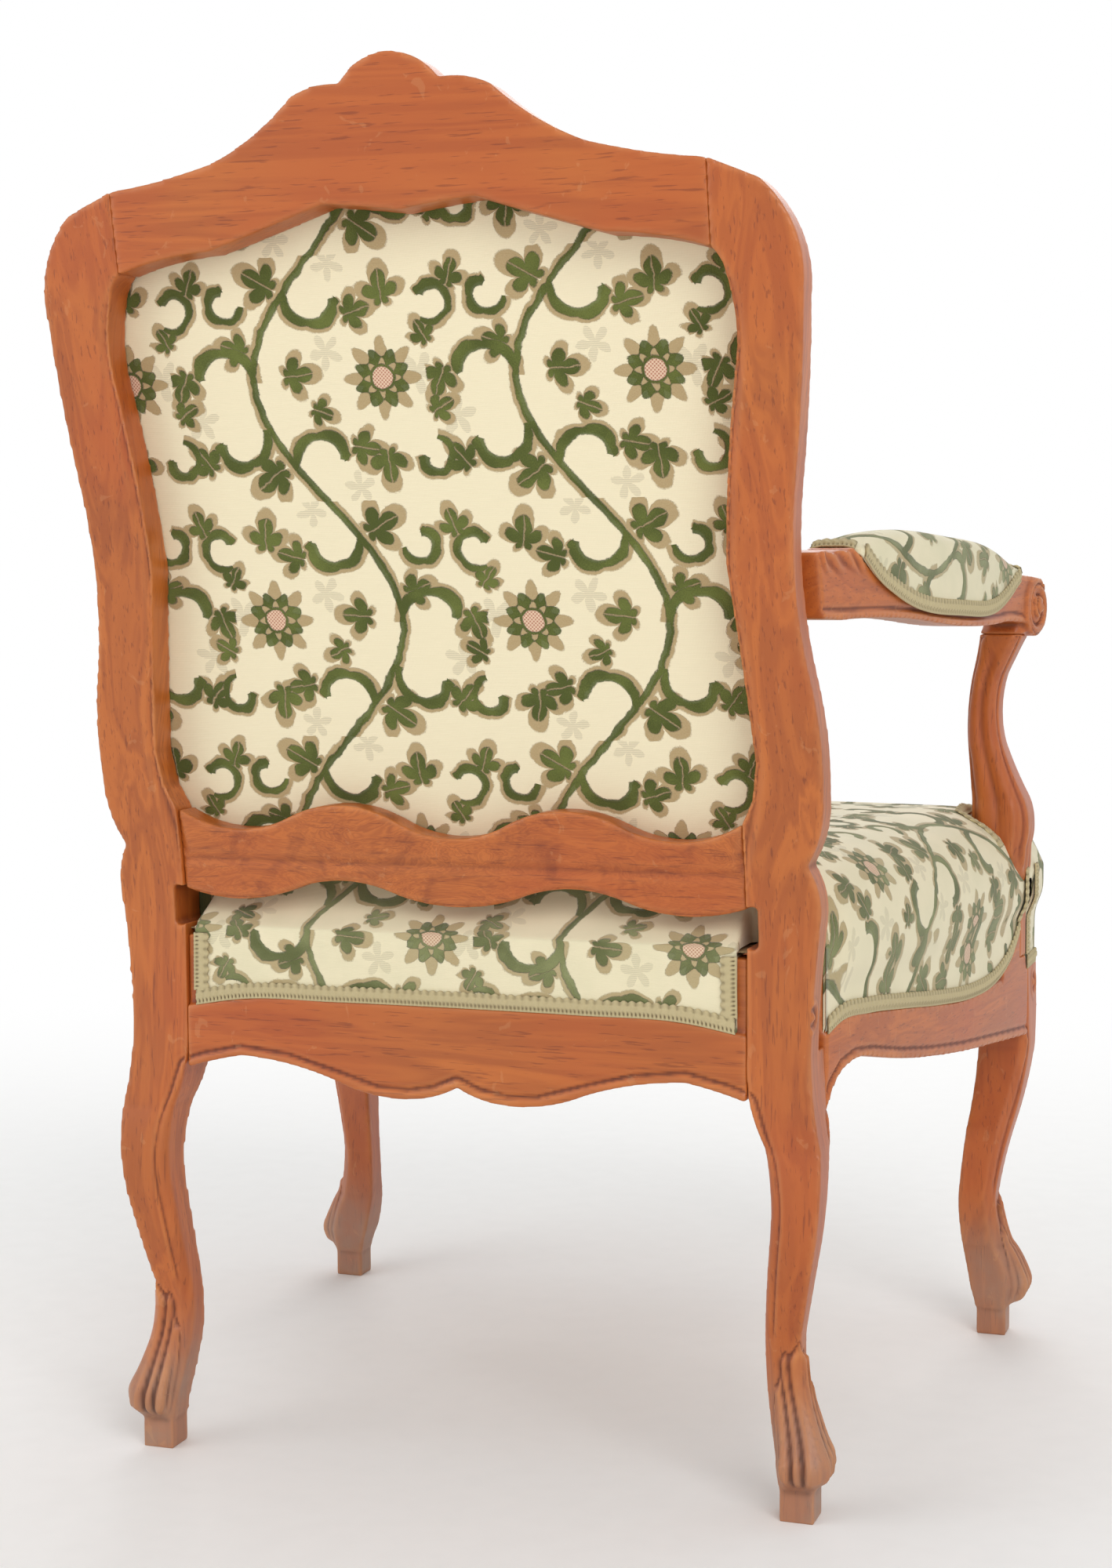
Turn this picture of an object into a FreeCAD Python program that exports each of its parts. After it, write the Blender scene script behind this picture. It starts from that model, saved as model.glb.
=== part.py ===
import FreeCAD, Part
import math
import os
from FreeCAD import Placement, Rotation, Vector

# Open armchair with a carved walnut frame and fixed upholstery.
# Millimetres. The seat faces -Y, +X is the sitter's left and the feet stand on Z = 0.
# Shapes are drawn with Y = 0 on the rear face of the rear seat rail and then moved to stand
# over the origin.

doc = FreeCAD.newDocument("fauteuil")
sheet = doc.addObject("Spreadsheet::Sheet", "Dimensions")

DIMENSIONS = (
    ("total_height", 1000.0, "floor to the top of the crest"),
    ("stock", 42.0, "thickness of the back frame, front to back"),
    ("rake_angle", 10.95, "lean of the back, degrees"),
    ("rake_height", 421.0, "height where the back starts to lean"),
    ("bend_radius", 330.0, "radius of the bend in the rear posts"),
    ("back_half_width", 272.0, "centre line to the widest point of the back"),
    ("stile_width", 46.0, "width of the stiles across the back"),
    ("waist_inset", 14.0, "how far the stiles draw in at the waist"),
    ("post_inner", 214.0, "centre line to the inner face of the rear posts"),
    ("shoulder_height", 922.5, "top of the joint between crest and stile"),
    ("opening_top", 867.4, "top corner of the opening in the back"),
    ("opening_bottom", 490.0, "bottom corner of the opening in the back"),
    ("crest_end", 212.5, "centre line to the joint between crest and stile"),
    ("lower_rail_thickness", 24.5, "thickness of the lower back rail"),
    ("lower_rail_recess", 3.5, "lower back rail behind the posts' rear face"),
    ("rebate_depth", 28.0, "rear face of the back to the floor of its rebate"),
    ("rebate_width", 11.0, "width of the rebate round the opening"),
    ("rail_top", 395.0, "top of the seat rails"),
    ("rear_rail_thickness", 28.0, "thickness of the rear seat rail"),
    ("cover_rebate", 4.0, "depth of the rebate that takes the seat cover"),
    ("rear_trim_height", 343.0, "lower edge of the cover at the rear"),
    ("front_trim_height", 322.0, "lower edge of the cover at the front"),
    ("seat_front", 560.0, "rear face to the front rail at its middle"),
    ("front_leg_face", 541.0, "rear face to the front of the front legs"),
    ("front_half_width", 331.0, "centre line to the outer face of the front legs"),
    ("front_leg_width", 48.0, "width of the front legs at the seat rails"),
    ("side_rail_bow", 8.0, "outward bow of the side rails"),
    ("side_rail_thickness", 29.0, "thickness of the side rails at their ends"),
    ("front_rail_inner", 515.0, "rear face to the inner face of the front rail"),
    ("foot_size", 25.0, "side of the square block under each foot"),
    ("foot_height", 24.0, "height of the square block under each foot"),
    ("arm_height", 676.0, "top of the arms at the back"),
    ("arm_thickness", 32.0, "thickness of the arms"),
    ("volute_radius", 24.0, "radius of the scroll at the end of the arms"),
    ("volute_width", 36.0, "width of the scroll at the end of the arms"),
    ("arm_joint_height", 608.0, "joint between arm and arm support"),
    ("seat_crown", 472.0, "top of the upholstered seat"),
    ("cover_thickness", 2.0, "thickness of the woven covers"),
    ("cover_bulge", 5.5, "how far the seat cover swells past the rails"),
    ("trim_width", 12.0, "width of the braid"),
    ("trim_thickness", 2.8, "thickness of the braid"),
    ("back_crown", 38.0, "how far the back padding stands in front of its frame"),
    ("pad_height", 34.0, "height of the arm pads above the wood"),
    ("strap_width", 50.0, "width of the webbing"),
    ("strap_thickness", 1.5, "thickness of the webbing"),
    ("tenon_length", 26.0, "length of the rail tenons"),
    ("tenon_thickness", 10.0, "thickness of the rail tenons"),
    ("joint_clearance", 0.15, "play round each tenon and dowel"),
    ("fabric_clearance", 0.3, "play between layers of upholstery"),
    ("dowel_diameter", 8.0, "diameter of the arm dowels"),
    ("dowel_length", 40.0, "length of the arm dowels"),
    ("block_height", 40.0, "height of the corner blocks"),
    ("screw_diameter", 4.0, "shank diameter of the screws"),
    ("screw_length", 32.0, "length of the screws"),
)
for row, (alias, value, note) in enumerate(DIMENSIONS, start=1):
    sheet.set("A%d" % row, alias.replace("_", " "))
    sheet.set("B%d" % row, str(value))
    sheet.setAlias("B%d" % row, alias)
    sheet.set("C%d" % row, note)
doc.recompute()


def size(alias):
    return float(sheet.get(alias))


# Derived sizes
RAKE = math.radians(size("rake_angle"))
LEAN = math.tan(RAKE)
STOCK = size("stock")
HALF_BACK = size("back_half_width")
POST_INNER = size("post_inner")
RAIL_TOP = size("rail_top")
REAR_TRIM = size("rear_trim_height")
FRONT_TRIM = size("front_trim_height")
HALF_FRONT = size("front_half_width")
LEG_FACE = -size("front_leg_face")
LEG_BACK = LEG_FACE + size("front_leg_width")
SEAT_FRONT = -size("seat_front")
PLAY = size("joint_clearance")
SOFT = size("fabric_clearance")
COVER = size("cover_thickness")
BACK_REACH = LEAN * (size("total_height") - size("rake_height"))
SHIFT = Vector(0, (size("seat_front") + size("cover_bulge") - BACK_REACH) / 2, 0)
SIDES = (("left", 1), ("right", -1))
FAR = 1500.0

finished = []


# Drawing helpers

def edges_through(points):
    # Two points make a line. More are joined by arcs, each through three neighbouring points.
    edges = []
    for start in range(0, len(points) - 1, 2):
        near, far = points[start], points[min(start + 2, len(points) - 1)]
        middle = points[start + 1]
        bent = (middle - near).cross(far - near).Length > 0.02 * (far - near).Length
        if middle != far and bent:
            edges.append(Part.Arc(near, middle, far).toShape())
        else:
            edges.append(Part.makeLine(near, far))
    return edges


def wire_through(stretches):
    return Part.Wire([edge for points in stretches for edge in edges_through(points)])


def face_through(stretches):
    return Part.Face(wire_through(stretches))


def front_view(points):
    return [Vector(x, 0, z) for x, z in points]


def side_view(points):
    return [Vector(0, y, z) for y, z in points]


def plan_view(points):
    return [Vector(x, y, 0) for x, y in points]


def both_ways(half):
    # A curve that is the same on both sides of the centre line, from +X to -X.
    return list(half) + [(-x, z) for x, z in reversed(half) if x > 0]


def through_depth(face):
    # A front-view face carried through the whole depth of the chair.
    return face.translated(Vector(0, -FAR, 0)).extrude(Vector(0, 2 * FAR, 0))


def through_width(face):
    return face.translated(Vector(-FAR, 0, 0)).extrude(Vector(2 * FAR, 0, 0))


def through_height(face, low, high):
    return face.translated(Vector(0, 0, low)).extrude(Vector(0, 0, high - low))


def box(low, high):
    return Part.makeBox(high[0] - low[0], high[1] - low[1], high[2] - low[2], Vector(*low))


def mirrored(shape):
    return shape.mirror(Vector(0, 0, 0), Vector(1, 0, 0))


def on_side(shape, sign):
    return shape if sign > 0 else mirrored(shape)


def lean(shape):
    # Turns a shape drawn upright on the rear face into the raked plane of the back.
    turned = shape.copy()
    turned.rotate(Vector(0, 0, size("rake_height")), Vector(1, 0, 0), -size("rake_angle"))
    return turned


def sawn(sections, trims=()):
    # A curved post sawn from the solid, as a joiner does it: one outline from the front, one
    # from the side and, for each trimmed pair of corners, one more across that diagonal.
    # Sections are height, middle X and Y, half widths and how much of the corners is left.
    low, high = sections[0][0], sections[-1][0]

    def outline(direction, middle, half):
        near = [Vector(direction * (middle(*row) - half(*row))) + Vector(0, 0, row[0])
                for row in sections]
        far = [Vector(direction * (middle(*row) + half(*row))) + Vector(0, 0, row[0])
               for row in sections]
        face = face_through([near, [near[-1], far[-1]], far[::-1], [far[0], near[0]]])
        through = Vector(-direction.y, direction.x, 0) * FAR
        return face.translated(-through).extrude(through * 2)

    post = outline(Vector(1, 0, 0), lambda z, x, y, a, b, k: x, lambda z, x, y, a, b, k: a)
    post = post.common(outline(Vector(0, 1, 0), lambda z, x, y, a, b, k: y,
                               lambda z, x, y, a, b, k: b))
    for sign in trims:
        diagonal = Vector(1, sign, 0) * math.sqrt(0.5)
        post = post.common(outline(diagonal,
                                   lambda z, x, y, a, b, k: (x + sign * y) * math.sqrt(0.5),
                                   lambda z, x, y, a, b, k: (a + b) * k * math.sqrt(0.5)))
    return post


def loft(wires):
    return Part.makeLoft(wires, True, True)


def prism(corners, low, high):
    outline = Part.makePolygon(plan_view(corners + corners[:1]))
    return through_height(Part.Face(outline), low, high)


def joined(shapes):
    return shapes[0].fuse(shapes[1:])


def add_piece(name, shape):
    piece = doc.addObject("Part::Feature", name)
    piece.Label = name
    piece.Shape = shape
    piece.Placement = Placement(SHIFT, Rotation())
    finished.append(piece)


# The raked slab that the back frame is sawn from, seen from the side

def rear_line(height):
    return LEAN * (height - size("rake_height"))


def back_slab(near, far, low=0.0):
    # Everything between two depths behind the rear face, bent like the posts.
    bend = size("bend_radius")
    pivot = size("rake_height")

    def side_profile(depth):
        radius = bend + depth
        reach = radius * math.tan(RAKE / 2)
        turn = Vector(0, -depth, pivot + depth * math.tan(RAKE / 2))
        start = turn - Vector(0, 0, reach)
        end = turn + Vector(0, math.sin(RAKE), math.cos(RAKE)) * reach
        centre = start + Vector(0, radius, 0)
        middle = centre + Vector(0, -math.cos(RAKE / 2), math.sin(RAKE / 2)) * radius
        top = end + Vector(0, math.sin(RAKE), math.cos(RAKE)) * FAR
        return start, middle, end, top

    rear = side_profile(near)
    front = side_profile(far)
    rear_foot = Vector(0, rear[0].y, low)
    front_foot = Vector(0, front[0].y, low)
    return through_width(face_through([
        [rear_foot, rear[0]],
        [rear[0], rear[1], rear[2]],
        [rear[2], rear[3]],
        [rear[3], front[3]],
        [front[3], front[2]],
        [front[2], front[1], front[0]],
        [front[0], front_foot],
        [front_foot, rear_foot],
    ]))


# Back frame templates, seen from behind

NOTCH_HEIGHT = 461.5
POST_FOOT = 330.0
BEAD_DEPTH = 26.0
BEAD_INSET = 7.0
OPENING_INSET = HALF_BACK - size("stile_width")
WAIST = size("waist_inset")
SHOULDER = size("shoulder_height")
JOINT_X = size("crest_end")
OPEN_LOW = size("opening_bottom")
OPEN_HIGH = size("opening_top")
CREST_LOBE = size("total_height") - 18.0


def offset_line(points, distance):
    # Moves an open line of points sideways, to the left of its direction.
    moved = []
    for index, (x, z) in enumerate(points):
        before = points[max(index - 1, 0)]
        after = points[min(index + 1, len(points) - 1)]
        length = math.hypot(after[0] - before[0], after[1] - before[1])
        moved.append((x - (after[1] - before[1]) / length * distance,
                      z + (after[0] - before[0]) / length * distance))
    return moved


def outer_low():
    insets = ((13.0, POST_FOOT), (11.5, 366.0), (6.5, 420.0), (8.0, 448.0), (14.0, NOTCH_HEIGHT))
    return [(HALF_BACK - inset, height) for inset, height in insets]


def outer_high():
    insets = ((14.0, NOTCH_HEIGHT), (7.0, 475.0), (1.0, 508.0), (0.5, 534.0), (5.5, 583.0),
              (WAIST, 655.0), (WAIST - 4, 724.0), (3.0, 789.0), (0.0, SHOULDER - 84),
              (8.0, SHOULDER - 37), (26.0, SHOULDER - 14))
    return [(HALF_BACK - inset, height) for inset, height in insets] + [(JOINT_X, SHOULDER)]


def opening_side():
    # Inner edge of the left stile, from the bottom corner of the opening to the top one.
    insets = ((4.0, OPEN_LOW + 17), (0.5, OPEN_LOW + 42), (6.0, OPEN_LOW + 102), (WAIST, 665.0),
              (WAIST - 4, 724.0), (2.0, OPEN_HIGH - 80), (-0.4, OPEN_HIGH - 42),
              (4.5, OPEN_HIGH - 16))
    return [(OPENING_INSET - inset, height) for inset, height in insets]


def crest_underside():
    shares = ((1.0, 0.0), (0.88, 7.0), (0.67, 12.5), (0.44, 27.0), (0.255, 39.5), (0.12, 36.5),
              (0.0, 33.0))
    return both_ways([(JOINT_X * share, OPEN_HIGH + rise) for share, rise in shares])


def crest_lobe():
    # Top of the crest from the joint with the left stile to the notch beside the shell.
    rise = CREST_LOBE - SHOULDER
    shares = ((1.0, 0.0), (0.8, 0.1), (0.62, 0.25), (0.47, 0.52), (0.335, 0.89), (0.235, 1.0),
              (0.165, 1.0))
    return [(JOINT_X * share, SHOULDER + rise * lift) for share, lift in shares]


def crest_top_stretches(inset):
    left = offset_line(crest_lobe(), inset)
    left[0] = (JOINT_X, left[0][1])
    right = [(-x, z) for x, z in reversed(left)]
    shell = [left[-1], (0, size("total_height") - inset), right[0]]
    return [front_view(left), front_view(shell), front_view(right)]


def post_template(inset):
    low = offset_line(outer_low(), inset)
    high = offset_line(outer_high(), inset)
    low[0] = (low[0][0], POST_FOOT)
    cusp = (low[-1][0], NOTCH_HEIGHT)
    low[-1] = cusp
    high[0] = cusp
    high[-1] = (JOINT_X, high[-1][1])
    side = opening_side()
    foot = [(POST_INNER, OPEN_LOW), (OPENING_INSET - 10, OPEN_LOW + 4), side[0]]
    corner = [side[-1], (OPENING_INSET - 8, OPEN_HIGH - 6.5), (JOINT_X, OPEN_HIGH)]
    return face_through([
        front_view(low),
        front_view(high),
        front_view([high[-1], (JOINT_X, OPEN_HIGH)]),
        front_view(corner[::-1]),
        front_view(side[::-1]),
        front_view(foot[::-1]),
        front_view([(POST_INNER, OPEN_LOW), (POST_INNER, POST_FOOT)]),
        front_view([(POST_INNER, POST_FOOT), low[0]]),
    ])


def opening_wire(grow):
    # Outline of the back upholstery, grown past the opening.
    side = offset_line(opening_side(), -grow)
    top = offset_line(crest_underside(), -grow)
    foot = (POST_INNER + 4 - 0.5 * (size("rebate_width") - grow), OPEN_LOW - 32 - grow)
    other = [(-x, z) for x, z in reversed(side)]
    return wire_through([front_view(points) for points in (
        [(-foot[0], foot[1]), foot],
        [foot, side[0]],
        side,
        [side[-1], top[0]],
        top,
        [top[-1], other[0]],
        other,
        [other[-1], (-foot[0], foot[1])],
    )])


def moulded(template):
    # A flat rear part and a narrower bead in front of it.
    rear = through_depth(template(0.0)).common(back_slab(0, BEAD_DEPTH))
    bead = through_depth(template(BEAD_INSET)).common(back_slab(BEAD_DEPTH, STOCK))
    return rear.fuse(bead)


REBATE = through_depth(Part.Face(opening_wire(size("rebate_width")))).common(
    back_slab(size("rebate_depth"), STOCK + 20))


# Legs: height, middle X and Y, half widths, share of the soft corners that is left

def on_block(post, foot_x, foot_y):
    half = size("foot_size") / 2
    return post.fuse(box((foot_x - half, foot_y - half, 0),
                         (foot_x + half, foot_y + half, size("foot_height"))))


def rear_leg():
    middle = (POST_INNER + HALF_BACK - 13.0) / 2
    half = (HALF_BACK - 13.0 - POST_INNER) / 2
    knee = middle + 12.8
    rest = size("foot_height")
    return on_block(sawn((
        (rest, knee - 1.0, -19.9, 13.5, 13.5, 0.9),
        (rest + 8, knee, -16.8, 15.8, 15.8, 0.78),
        (rest + 21, knee, -18.8, 17.4, 17.4, 0.74),
        (rest + 39, knee - 4.5, -22.5, 16.4, 16.4, 0.74),
        (rest + 58, knee - 9.5, -25.6, 14.8, 14.8, 0.74),
        (rest + 84, knee - 13.0, -26.0, 13.5, 13.5, 0.74),
        (rest + 106, knee - 12.5, -22.5, 13.7, 13.7, 0.74),
        (rest + 136, knee - 8.3, -16.4, 15.4, 15.4, 0.74),
        (rest + 176, knee - 2.3, -10.3, 17.1, 17.1, 0.76),
        (rest + 211, knee, -10.0, 18.2, 18.2, 0.8),
        (rest + 241, knee - 2.5, -15.5, 20.0, 19.5, 0.88),
        (rest + 266, knee - 9.5, -19.0, 22.3, 21.0, 0.97),
        (POST_FOOT, middle, -STOCK / 2, half, STOCK / 2, 1.01),
    ), (-1,)), knee - 1.2, -19.9)


def front_leg():
    half = size("front_leg_width") / 2
    middle = HALF_FRONT - half
    depth = LEG_FACE + half
    rest = size("foot_height")
    post = sawn((
        (rest, middle - 4.6, depth + 15.4, 13.5, 13.5, 0.9),
        (rest + 7, middle - 2.5, depth + 13.0, 17.0, 17.0, 0.78),
        (rest + 19, middle - 1.3, depth + 9.0, 21.5, 21.5, 0.74),
        (rest + 35, middle - 4.5, depth + 8.0, 21.3, 21.3, 0.74),
        (rest + 53, middle - 11.0, depth + 11.5, 18.4, 18.4, 0.74),
        (rest + 76, middle - 15.5, depth + 18.3, 16.2, 16.2, 0.74),
        (rest + 98, middle - 16.9, depth + 21.3, 15.4, 15.4, 0.74),
        (rest + 126, middle - 13.4, depth + 18.4, 16.6, 16.6, 0.74),
        (rest + 156, middle - 8.2, depth + 12.2, 18.6, 18.6, 0.76),
        (rest + 191, middle - 1.5, depth + 3.0, 20.2, 20.2, 0.8),
        (rest + 226, middle + 2.5, depth - 2.5, 21.5, 21.5, 0.87),
        (rest + 256, middle + 1.5, depth - 1.5, 23.0, 23.0, 0.95),
        (rest + 290, middle, depth, half, half, 1.01),
    ), (1,))
    block = box((middle - half, depth - half, rest + 290), (middle + half, depth + half, RAIL_TOP))
    return on_block(post.fuse(block), middle - 4.6, depth + 15.4)


# Seat rails

def side_outer(inset):
    # Plan of a side rail's outer face from the rear post to the front leg.
    rear = (HALF_BACK - 11.0 - inset, -STOCK)
    front = (HALF_FRONT - inset, LEG_BACK)
    middle = ((rear[0] + front[0]) / 2 + size("side_rail_bow"), (rear[1] + front[1]) / 2)
    return [rear, middle, front]


def side_inner():
    thick = size("side_rail_thickness")
    outer = side_outer(0)
    return [(outer[0][0] - thick, outer[0][1]), (outer[2][0] - thick, outer[2][1])]


def side_plan(near, far):
    # The strip of plan between two insets from the outer face of a side rail.
    outer = side_outer(near)
    inner = side_outer(far)
    return face_through([plan_view(outer), plan_view([outer[2], inner[2]]),
                         plan_view(inner[::-1]), plan_view([inner[0], outer[0]])])


def front_face(inset):
    # Plan of the front rail's outer face, from the left leg to the right one.
    reach = HALF_FRONT - size("front_leg_width")
    swell = (LEG_FACE - SEAT_FRONT) * (1 - (reach / HALF_FRONT) ** 2)
    edge = LEG_FACE - swell + inset
    return [(reach, edge), (0, SEAT_FRONT + inset), (-reach, edge)]


def trim_line():
    # Lower edge of the seat cover seen from the side, from the rear post to the front.
    drop = REAR_TRIM - FRONT_TRIM
    return [(-STOCK, REAR_TRIM - 4), (-62, REAR_TRIM + 2), (-110, REAR_TRIM + 1),
            (-170, REAR_TRIM - 0.25 * drop), (-250, REAR_TRIM - 0.7 * drop),
            (-330, FRONT_TRIM), (LEG_BACK + 118, FRONT_TRIM + 1)]


def side_underside():
    low = FRONT_TRIM
    return [(-STOCK, low - 40), (-52, low - 23), (-68, low - 12.5), (-90, low - 8.5),
            (-120, low - 12), (-170, low - 22), (-230, low - 31), (-300, low - 39.5),
            (-380, low - 47), (LEG_BACK, low - 58)]


TENON_HEIGHT = 350.0


def tenon(joint, direction, half_height, grow=0.0):
    # A tenon on the shoulder point "joint", or its mortise when grown by the joint's play.
    thick = size("tenon_thickness") / 2 + grow
    root = joint - direction * 8.0
    tip = joint + direction * (size("tenon_length") + grow)
    side = Vector(abs(direction.y), abs(direction.x), 0) * thick
    side.z = half_height + grow
    return box([min(a, b) - c for a, b, c in zip(root, tip, side)],
               [max(a, b) + c for a, b, c in zip(root, tip, side)])


def rear_rail_tenon(grow=0.0):
    joint = Vector(POST_INNER, -size("rear_rail_thickness") / 2, TENON_HEIGHT)
    return tenon(joint, Vector(1, 0, 0), 17.0, grow)


def side_rail_tenon(front, grow=0.0):
    plan = side_outer(0)
    corner = plan[2] if front else plan[0]
    joint = Vector(corner[0] - size("side_rail_thickness") / 2, corner[1], TENON_HEIGHT)
    return tenon(joint, Vector(0, -1 if front else 1, 0), 17.0, grow)


def front_rail_tenon(grow=0.0):
    depth = (LEG_FACE - size("front_rail_inner")) / 2
    joint = Vector(HALF_FRONT - size("front_leg_width"), depth + 2, TENON_HEIGHT)
    return tenon(joint, Vector(1, 0, 0), 17.0, grow)


def crest_tenon(grow=0.0):
    height = (OPEN_HIGH + SHOULDER) / 2 - 7
    joint = Vector(JOINT_X, -size("rebate_depth") / 2, size("rake_height")
                   + (height - size("rake_height")) / math.cos(RAKE))
    return lean(tenon(joint, Vector(1, 0, 0), 12.0, grow))


def lower_rail_tenon(grow=0.0):
    depth = size("lower_rail_recess") + size("lower_rail_thickness") / 2
    return lean(tenon(Vector(POST_INNER, -depth, 461.0), Vector(1, 0, 0), 15.0, grow))


# Frame pieces

def rear_rail_underside():
    cusp = REAR_TRIM - 50.0
    half = [(POST_INNER, cusp + 2.5), (POST_INNER - 16, cusp + 7.5), (POST_INNER - 44, cusp + 13.8),
            (POST_INNER - 80, cusp + 10), (POST_INNER - 118, cusp), (62, cusp - 9.8),
            (38, cusp - 10.8), (16, cusp - 7), (0, cusp)]
    right = [(-x, z) for x, z in reversed(half)]
    return half, right


def rear_trim_line():
    # Lower edge of the cover on the rear rail.
    return both_ways([(POST_INNER, REAR_TRIM - 1), (POST_INNER - 44, REAR_TRIM + 6.5),
                      (POST_INNER - 120, REAR_TRIM + 8), (0, REAR_TRIM + 8.5)])


def above_line(line, top):
    # Outline of everything between an open line and a level above it.
    first, last = line[0], line[-1]
    return [line, [last, (last[0], top)], [(last[0], top), (first[0], top)],
            [(first[0], top), first]]


def rear_seat_rail():
    left, right = rear_rail_underside()
    template = face_through([
        front_view(left),
        front_view(right),
        front_view([(-POST_INNER, left[0][1]), (-POST_INNER, RAIL_TOP)]),
        front_view([(-POST_INNER, RAIL_TOP), (POST_INNER, RAIL_TOP)]),
        front_view([(POST_INNER, RAIL_TOP), (POST_INNER, left[0][1])]),
    ])
    thick = size("rear_rail_thickness")
    rail = template.translated(Vector(0, -thick, 0)).extrude(Vector(0, thick, 0))
    panel = face_through([front_view(points) for points in
                          above_line(rear_trim_line(), RAIL_TOP + 5)])
    depth = size("cover_rebate")
    rail = rail.cut(panel.translated(Vector(0, -depth, 0)).extrude(Vector(0, 2 * depth, 0)))
    rail = rail.cut(block_holes(True)).cut(mirrored(block_holes(True)))
    return rail.fuse([rear_rail_tenon(), mirrored(rear_rail_tenon())])


def tongue(grow=0.0):
    # The bare wood between the two parts of the cover, where the arm support comes down.
    middle = SUPPORT_Y
    rear = [(middle + 62 + grow, FRONT_TRIM + 8), (middle + 34 + grow, FRONT_TRIM + 19),
            (middle + 17 + grow, FRONT_TRIM + 32), (middle + 10 + grow, FRONT_TRIM + 54),
            (middle + 10 + grow, RAIL_TOP + 6)]
    front = [(middle - 10 - grow, RAIL_TOP + 6), (middle - 10 - grow, FRONT_TRIM + 12),
             (middle - 16 - grow, FRONT_TRIM - 6)]
    return through_width(face_through([
        side_view(rear),
        side_view([rear[-1], front[0]]),
        side_view(front),
        side_view([front[-1], (middle + 62 + grow, FRONT_TRIM - 6)]),
        side_view([(middle + 62 + grow, FRONT_TRIM - 6), rear[0]]),
    ]))


SUPPORT_Y = LEG_BACK + 18.0
SUPPORT_X = HALF_FRONT - 8.5


def side_region(grow=0.0):
    # Side view of all that the seat cover hides: above the braid's lower edge.
    line = trim_line()
    line = [(0, line[0][1])] + line + [(LEG_BACK, FRONT_TRIM), (SEAT_FRONT - 40, FRONT_TRIM)]
    line = [(y, z - grow) for y, z in line]
    rear, smooth, front = line[:2], line[1:-1], line[-2:]
    top = size("seat_crown") + 60
    return through_width(face_through([
        side_view([(60, rear[0][1]), rear[1]]),
        side_view(smooth),
        side_view(front),
        side_view([front[-1], (front[-1][0], top)]),
        side_view([(front[-1][0], top), (60, top)]),
        side_view([(60, top), (60, rear[0][1])]),
    ]))


def side_seat_rail():
    outer = side_outer(0)
    inner = side_inner()
    plan = face_through([plan_view(outer), plan_view([outer[2], inner[1]]),
                         plan_view([inner[1], inner[0]]), plan_view([inner[0], outer[0]])])
    low = side_underside()
    template = face_through([
        side_view(low),
        side_view([low[-1], (low[-1][0], RAIL_TOP)]),
        side_view([(low[-1][0], RAIL_TOP), (low[0][0], RAIL_TOP)]),
        side_view([(low[0][0], RAIL_TOP), low[0]]),
    ])
    rail = through_height(plan, 200, RAIL_TOP + 20).common(through_width(template))
    rebate = through_height(side_plan(-3.0, size("cover_rebate")), 200, RAIL_TOP + 20)
    rebate = rebate.common(side_region()).cut(tongue())
    rail = rail.cut(rebate).cut(support_solid(PLAY)).cut(screw_hole(*support_screw_place()))
    rail = rail.cut(block_holes(True)).cut(block_holes(False))
    return rail.fuse([side_rail_tenon(False), side_rail_tenon(True)])


def front_seat_rail():
    arc = front_face(0)
    reach = arc[0][0]
    inner = -size("front_rail_inner")
    plan = face_through([plan_view(arc), plan_view([arc[2], (-reach, inner)]),
                         plan_view([(-reach, inner), (reach, inner)]),
                         plan_view([(reach, inner), arc[0]])])
    half = [(reach, FRONT_TRIM - 58), (reach - 20, FRONT_TRIM - 40), (reach - 56, FRONT_TRIM - 32),
            (reach - 130, FRONT_TRIM - 38), (reach - 200, FRONT_TRIM - 50), (0, FRONT_TRIM - 58)]
    template = face_through([
        front_view(both_ways(half)),
        front_view([(-reach, half[0][1]), (-reach, RAIL_TOP)]),
        front_view([(-reach, RAIL_TOP), (reach, RAIL_TOP)]),
        front_view([(reach, RAIL_TOP), half[0]]),
    ])
    rail = through_height(plan, 200, RAIL_TOP).common(through_depth(template))
    depth = size("cover_rebate")
    back = front_face(depth)
    strip = face_through([plan_view(arc), plan_view([arc[2], back[2]]), plan_view(back[::-1]),
                          plan_view([back[0], arc[0]])])
    rail = rail.cut(through_height(strip, FRONT_TRIM, RAIL_TOP + 5))
    rail = rail.cut(block_holes(False)).cut(mirrored(block_holes(False)))
    return rail.fuse([front_rail_tenon(), mirrored(front_rail_tenon())])


def front_leg_piece():
    depth = size("cover_rebate")
    leg = front_leg()
    leg = leg.cut(box((HALF_FRONT - depth, LEG_FACE - 5, FRONT_TRIM),
                      (HALF_FRONT + 5, LEG_BACK + 5, RAIL_TOP + 5)))
    leg = leg.cut(box((HALF_FRONT - 2 * size("front_leg_width"), LEG_FACE - 5, FRONT_TRIM),
                      (HALF_FRONT + 5, LEG_FACE + depth, RAIL_TOP + 5)))
    return leg.cut(side_rail_tenon(True, PLAY)).cut(front_rail_tenon(PLAY))


def rear_post():
    stile = moulded(post_template).cut(REBATE)
    scoop = Part.makeCylinder(15.0, 2 * FAR, Vector(POST_INNER + 5.5, -FAR, RAIL_TOP + 22),
                              Vector(0, 1, 0))
    low = box((POST_INNER - 20, -STOCK - 5, RAIL_TOP + 5), (POST_INNER + 8, 20, RAIL_TOP + 37))
    post = stile.cut(scoop.common(low)).fuse(rear_leg())
    for cut in (rear_rail_tenon(PLAY), side_rail_tenon(False, PLAY), crest_tenon(PLAY),
                lower_rail_tenon(PLAY), arm_dowel_holes()):
        post = post.cut(cut)
    return post


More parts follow.
